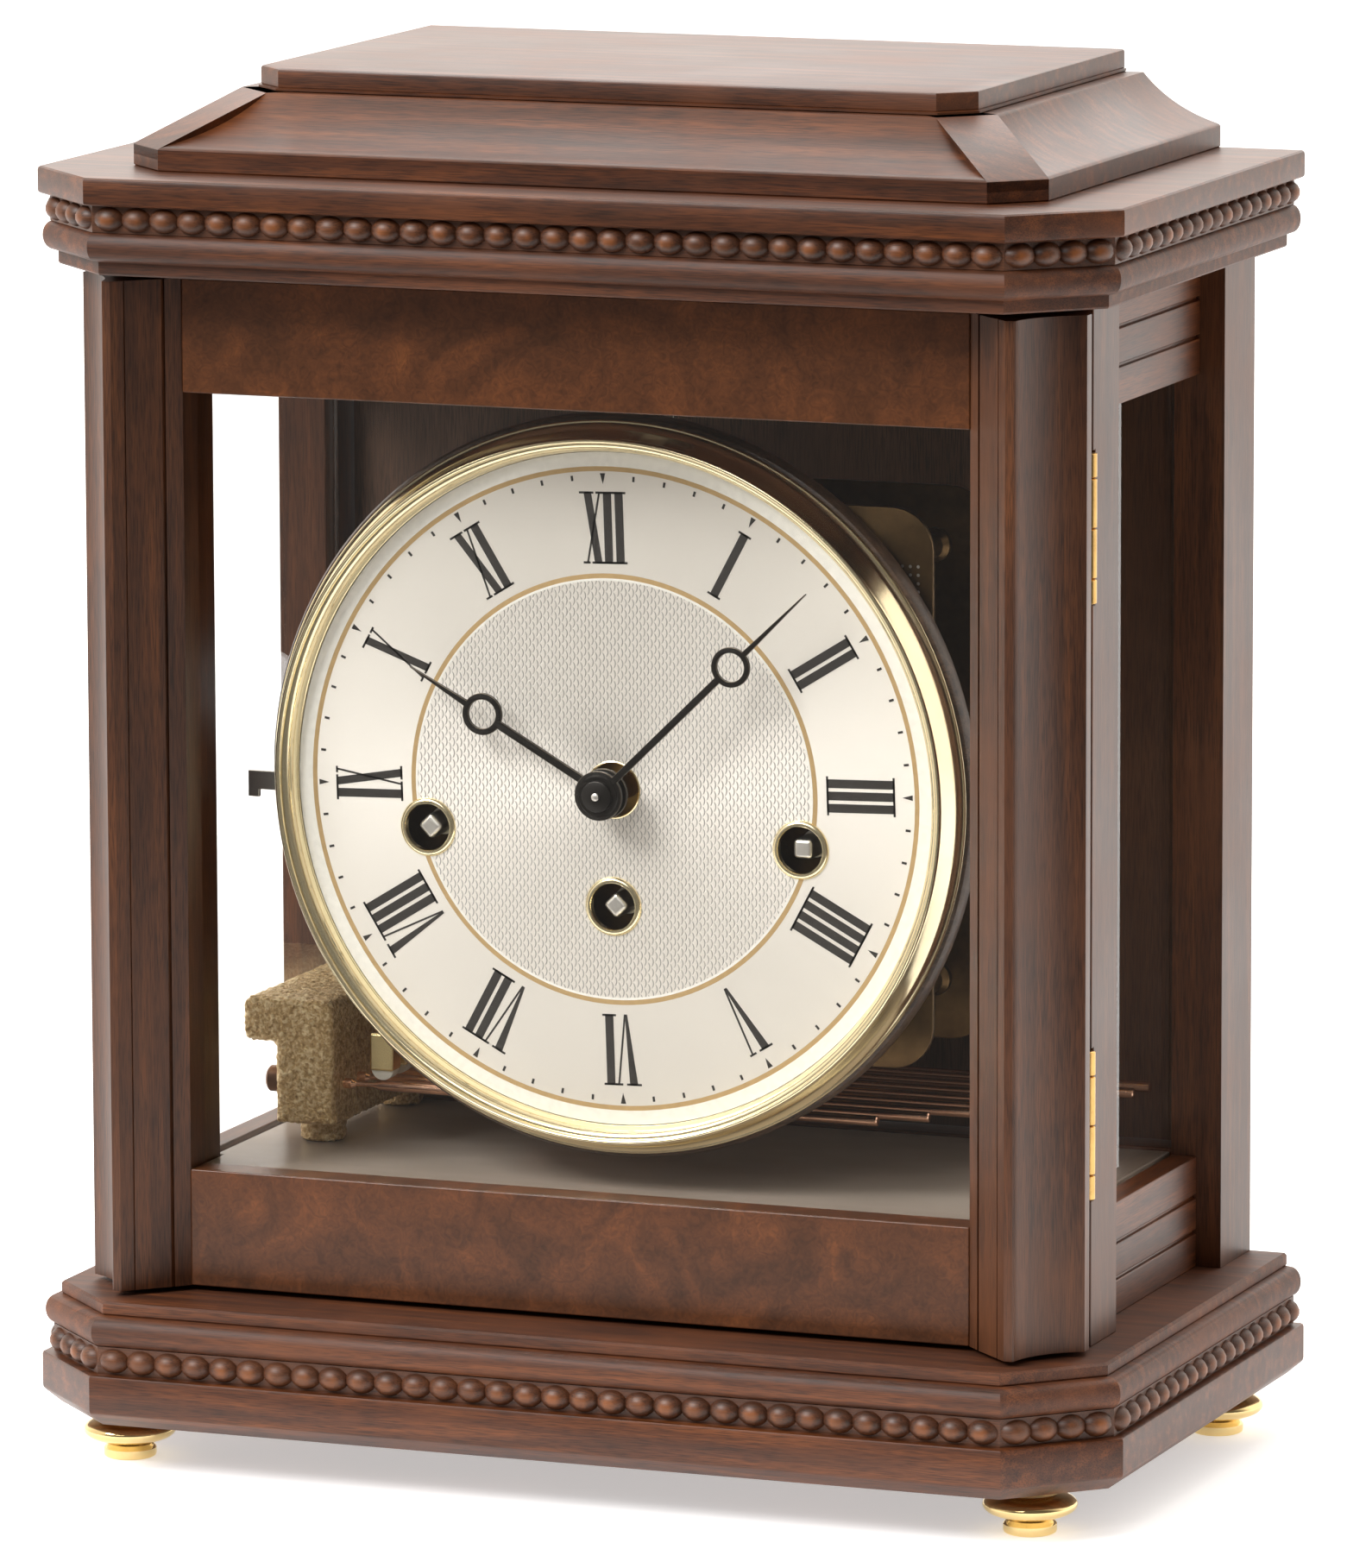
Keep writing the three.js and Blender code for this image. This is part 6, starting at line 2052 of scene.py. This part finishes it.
@dataclass
class Chime:
    """Cast block, copper rods, plugs and the eight hammers."""

    count: int = 8
    rod_radius: float = 1.1
    plug_radius: float = 2.8
    voxel: float = 0.6
    shortest: float = 0.557
    arm_reach: float = 16.3
    arm_half: float = 0.9
    tail: Point = (7.0, 4.0)
    head_half: float = 2.7
    head_rise: Point = (2.1, 10.1)  # foot and top of the head over the nylon tip
    flange: float = 10.0
    corner: float = 2.4
    foot: Triple = (5.0, 4.7, 11.0)  # radius, height, place from the casting's ends

    def build(self) -> None:
        """All pieces of the chime."""
        span = Span.of("chime_block")
        first = Span.of("chime_hammer_1").middle[1]
        last = Span.of("chime_hammer_8").middle[1]
        self.pitch = (last - first) / (self.count - 1)
        self.rows = [first + self.pitch * i for i in range(self.count)]
        self.left = span.x0
        self.leg = (self.left + 7.3, self.left + 20.9)
        self.rod_z = Span.of("floor_board").z1 + 13.1
        self.casting(span)
        self.rods(span)
        for i in range(self.count):
            self.hammer(i)

    def casting(self, span: Span) -> None:
        """The rough casting: flange over a leg, on two round feet."""
        r = self.corner
        foot_radius, foot_height, foot_at = self.foot
        x0, x1 = self.left, self.leg[1]
        bottom, top = span.z0 + foot_height, span.z1
        under = top - self.flange
        outline = [(self.leg[0], bottom), (x1 - 0.6, bottom), (x1, bottom + 0.6)]
        for centre, start in (((x1 - r, top - r), 0), ((x0 + r, top - r), 90),
                              ((x0 + r, under + r), 180)):
            outline += arc(centre, r, start, start + 90, 6)
        outline += [(self.leg[0], under)]
        y0, y1 = span.y0, span.y1
        body = plate("cast", outline, (), y0, y1, 1.6)
        x = sum(self.leg) / 2
        feet = [turned("cast_foot", ring_profile([(foot_radius, span.z0),
                                                  (foot_radius, bottom + 1.0)]),
                       (x, y, 0.0), Turning.STANDING, SMALL_SIDES)
                for y in (y0 + foot_at, y1 - foot_at)]
        whole = joined("chime_casting", body, *feet)
        remesh = whole.modifiers.new("skin", "REMESH")
        remesh.mode, remesh.voxel_size = "VOXEL", self.voxel * MM
        texture = bpy.data.textures.new("sand_grain", "CLOUDS")
        texture.noise_scale = 1.0 * MM
        texture.noise_depth = 2
        rough = whole.modifiers.new("sand", "DISPLACE")
        rough.texture, rough.strength, rough.mid_level = texture, 0.9 * MM, 0.75
        applied(whole)
        whole.data.shade_smooth()
        dressed(whole, [BRONZE], "case", ["chime_block"])

    def rods(self, span: Span) -> None:
        """Eight rods of rising length, thinned at the root, and their plugs."""
        longest = span.x1
        shortest = longest * self.shortest
        rods, plugs = [], []
        r = self.rod_radius
        for i, y in enumerate(self.rows):
            part = math.sin(math.pi / 2 * i / (self.count - 1))
            tip = shortest + (longest - shortest) * part
            root = self.leg[1]
            profile = [(r, root - 1.0), (r, root + 1.6), (0.55, root + 2.4),
                       (0.55, root + 6.5), (r, root + 8.0), (r, tip - 0.2), (r - 0.25, tip)]
            rods.append(turned("rod", ring_profile(profile), (0.0, y, self.rod_z),
                               Turning.LYING, 20))
            p = self.plug_radius
            plugs.append(turned("plug", ring_profile([
                (p - 0.5, self.leg[0] - 3.6), (p, self.leg[0] - 3.1),
                (p, self.leg[0] + 1.0)]), (-0.4, y, self.rod_z), Turning.LYING, 28))
        dressed(joined("chime_rods", *rods), [COPPER], "case")
        dressed(joined("chime_plugs", *plugs), [PLUG_COPPER], "case")

    def hammer(self, i: int) -> None:
        """One hammer: brass head, nylon tip, arm, eye and tail."""
        node = f"chime_hammer_{i + 1}"
        px, _, pz = joint_place(f"hammer_{i + 1}_lift")
        x, y = px - self.arm_reach, self.rows[i]
        half = self.pitch * 0.62 / 2
        tip = self.rod_z + self.rod_radius + 0.4
        low, high = (tip + rise for rise in self.head_rise)
        wide = self.head_half
        head = eased(block("head", (x - wide, y - half, low), (x + wide, y + half, high)),
                     0.6, 3)
        nylon = arc((x, tip + 2.6), 2.6, 180, 360, 14)
        tongue = plate("tip", [(x + 2.2, low + 0.4), (x - 2.2, low + 0.4),
                               *[(a, max(b, tip)) for a, b in nylon[1:-1]]], (),
                       y - half + 0.7, y + half - 0.7, 0.2)
        arm = self.strip((x, high - 1.0), (px, pz), self.arm_half, y)
        tail_end = (px + self.tail[0], pz + self.tail[1])
        tail = self.strip((px, pz), tail_end, self.arm_half, y)
        eye = turned("eye", [(1.7, -1.54), (2.8, -1.54), (3.0, -1.34), (3.0, 1.34),
                             (2.8, 1.54), (1.7, 1.54)], (px, y, pz), Turning.FACING,
                     SMALL_SIDES)
        for piece, finish in ((head, HAMMER_BRASS), (eye, HAMMER_BRASS), (arm, STEEL),
                              (tail, STEEL), (tongue, NYLON)):
            painted(piece, finish)
        dressed(joined(node + "_finished", head, tongue, arm, tail, eye), (),
                body_of(node), [node])

    @staticmethod
    def strip(start: Point, end: Point, half: float, y: float) -> Piece:
        """A flat bar between two points of the front view."""
        along = (Vector(end) - Vector(start)).normalized()
        side = Vector((-along.y, along.x)) * half
        a, b = Vector(start), Vector(end)
        loop = [tuple(a - side), tuple(b - side), tuple(b + side), tuple(a + side)]
        return plate("strip", loop, (), y - 0.8, y + 0.8, 0.2)


@dataclass
class Studio:
    """Camera, floor and soft lights."""

    lens: float = 255.1
    place: Triple = (836.6, -2133.6, 521.3)
    azimuth: float = 0.3722
    elevation: float = 0.1644
    roll: float = -0.0034

    def build(self) -> None:
        """The whole studio."""
        self.camera()
        self.floor()
        self.world()
        self.lamp("key", (-1.2, -1.7, 1.9), size=1.0, power=58.0)
        self.lamp("front", (-0.2, -2.2, 1.5), size=0.8, power=8.0)
        self.lamp("back", (-0.3, 1.6, 1.7), size=1.8, power=18.0)

    def camera(self) -> None:
        """The photograph's camera: its frame is 36 mm high on a long lens."""
        data = bpy.data.cameras.new("camera")
        data.lens = self.lens
        data.sensor_width = 36.0
        data.sensor_fit = "AUTO"
        data.clip_start, data.clip_end = 0.1, 50.0
        view = bpy.data.objects.new("camera", data)
        bpy.context.scene.collection.objects.link(view)
        a, e = self.azimuth, self.elevation
        back = Vector((math.sin(a) * math.cos(e), -math.cos(a) * math.cos(e), math.sin(e)))
        right = Vector((math.cos(a), math.sin(a), 0.0))
        up = back.cross(right)
        tilted = right * math.cos(self.roll) + up * math.sin(self.roll)
        raised = back.cross(tilted)
        turn = Matrix((tilted, raised, back)).transposed().to_4x4()
        view.matrix_world = Matrix.Translation(Vector(self.place) * MM) @ turn
        bpy.context.scene.camera = view

    def floor(self) -> None:
        """A wide pale sheet under the clock."""
        mesh = bpy.data.meshes.new("floor")
        mesh.from_pydata([(-2, -0.25, 0), (2, -0.25, 0), (3, 4, 0), (-3, 4, 0)], [],
                         [(0, 1, 2, 3)])
        sheet = link("floor", mesh)
        mesh.materials.append(Paint("floor_matt_white", colour="f8f8f8", roughness=0.8,
                                    mottle_mm=400.0, glow=0.45).material())

    def world(self) -> None:
        """White behind the clock, dimmer in front, as in a tent with a dark camera side."""
        world = bpy.data.worlds.new("studio")
        world.use_nodes = True
        bpy.context.scene.world = world
        tree = world.node_tree
        coords = add_node(tree, "ShaderNodeTexCoord")
        facing = add_node(tree, VECTOR, {
            0: coords.outputs["Generated"], 1: (0.45, -0.88, -0.1)},
            operation="DOT_PRODUCT")
        dark_side = add_node(tree, RANGE, {
            "Value": facing.outputs["Value"], "From Min": 0.0, "From Max": 0.7,
            "To Min": 0.0, "To Max": -0.97}, interpolation_type="SMOOTHSTEP")
        split = add_node(tree, "ShaderNodeSeparateXYZ", {0: coords.outputs["Generated"]})
        behind = add_node(tree, RANGE, {
            "Value": split.outputs[1], "From Min": -0.2, "From Max": 0.6,
            "To Min": 1.1, "To Max": 1.7}, interpolation_type="SMOOTHSTEP")
        both = add_node(tree, MATHS, {0: behind, 1: dark_side},
                        operation="ADD")
        path = add_node(tree, "ShaderNodeLightPath")
        seen = add_node(tree, MATHS, {
            0: both, 1: path.outputs["Is Camera Ray"]}, operation="MAXIMUM")
        background = tree.nodes["Background"]
        tone = add_node(tree, MIX, {
            MIX_FACTOR: path.outputs["Is Camera Ray"], MIX_A: linear("fff8f0"),
            MIX_B: linear("ffffff")}, data_type="RGBA")
        tree.links.new(tone.outputs[MIX_RESULT], background.inputs["Color"])
        tree.links.new(seen.outputs[0], background.inputs["Strength"])

    def lamp(self, name: str, place: Triple, size: float, power: float) -> None:
        """A square soft box that faces the clock."""
        data = bpy.data.lights.new(name, "AREA")
        data.size, data.energy = size, power
        lamp = bpy.data.objects.new(name, data)
        bpy.context.scene.collection.objects.link(lamp)
        lamp.location = place
        aim = Vector((0.0, 0.0, 0.15)) - Vector(place)
        lamp.rotation_euler = aim.to_track_quat("-Z", "Y").to_euler()


def main() -> None:
    """Builds the clock piece by piece."""
    logging.basicConfig(level=logging.INFO, format="%(message)s")
    bpy.context.scene.view_settings.view_transform = "Standard"
    beads, rim, scatter = bead_tree(), rim_tree(), scatter_tree()
    hinges, dial = Hinges(), Dial()
    steps: list[tuple[str, Callable[[], None]]] = [
        ("studio", Studio().build),
        ("base", lambda: Base().build(beads)),
        ("cornice", lambda: Cornice().build(beads)),
        ("lid", Lid().build),
        ("carcase", Carcase().build),
        ("front door", lambda: FrontDoor().build(hinges)),
        ("hinges", lambda: hinges.build(scatter)),
        ("dial", lambda: dial.build(rim)),
        ("movement", lambda: Movement().build(rim, scatter, dial)),
        ("chime", Chime().build),
    ]
    for word, step in steps:
        before = set(bpy.data.objects)
        step()
        for piece in sorted(o.name for o in set(bpy.data.objects) - before):
            LOG.info("%s: %s", word, piece)


if __name__ == "__main__":
    main()
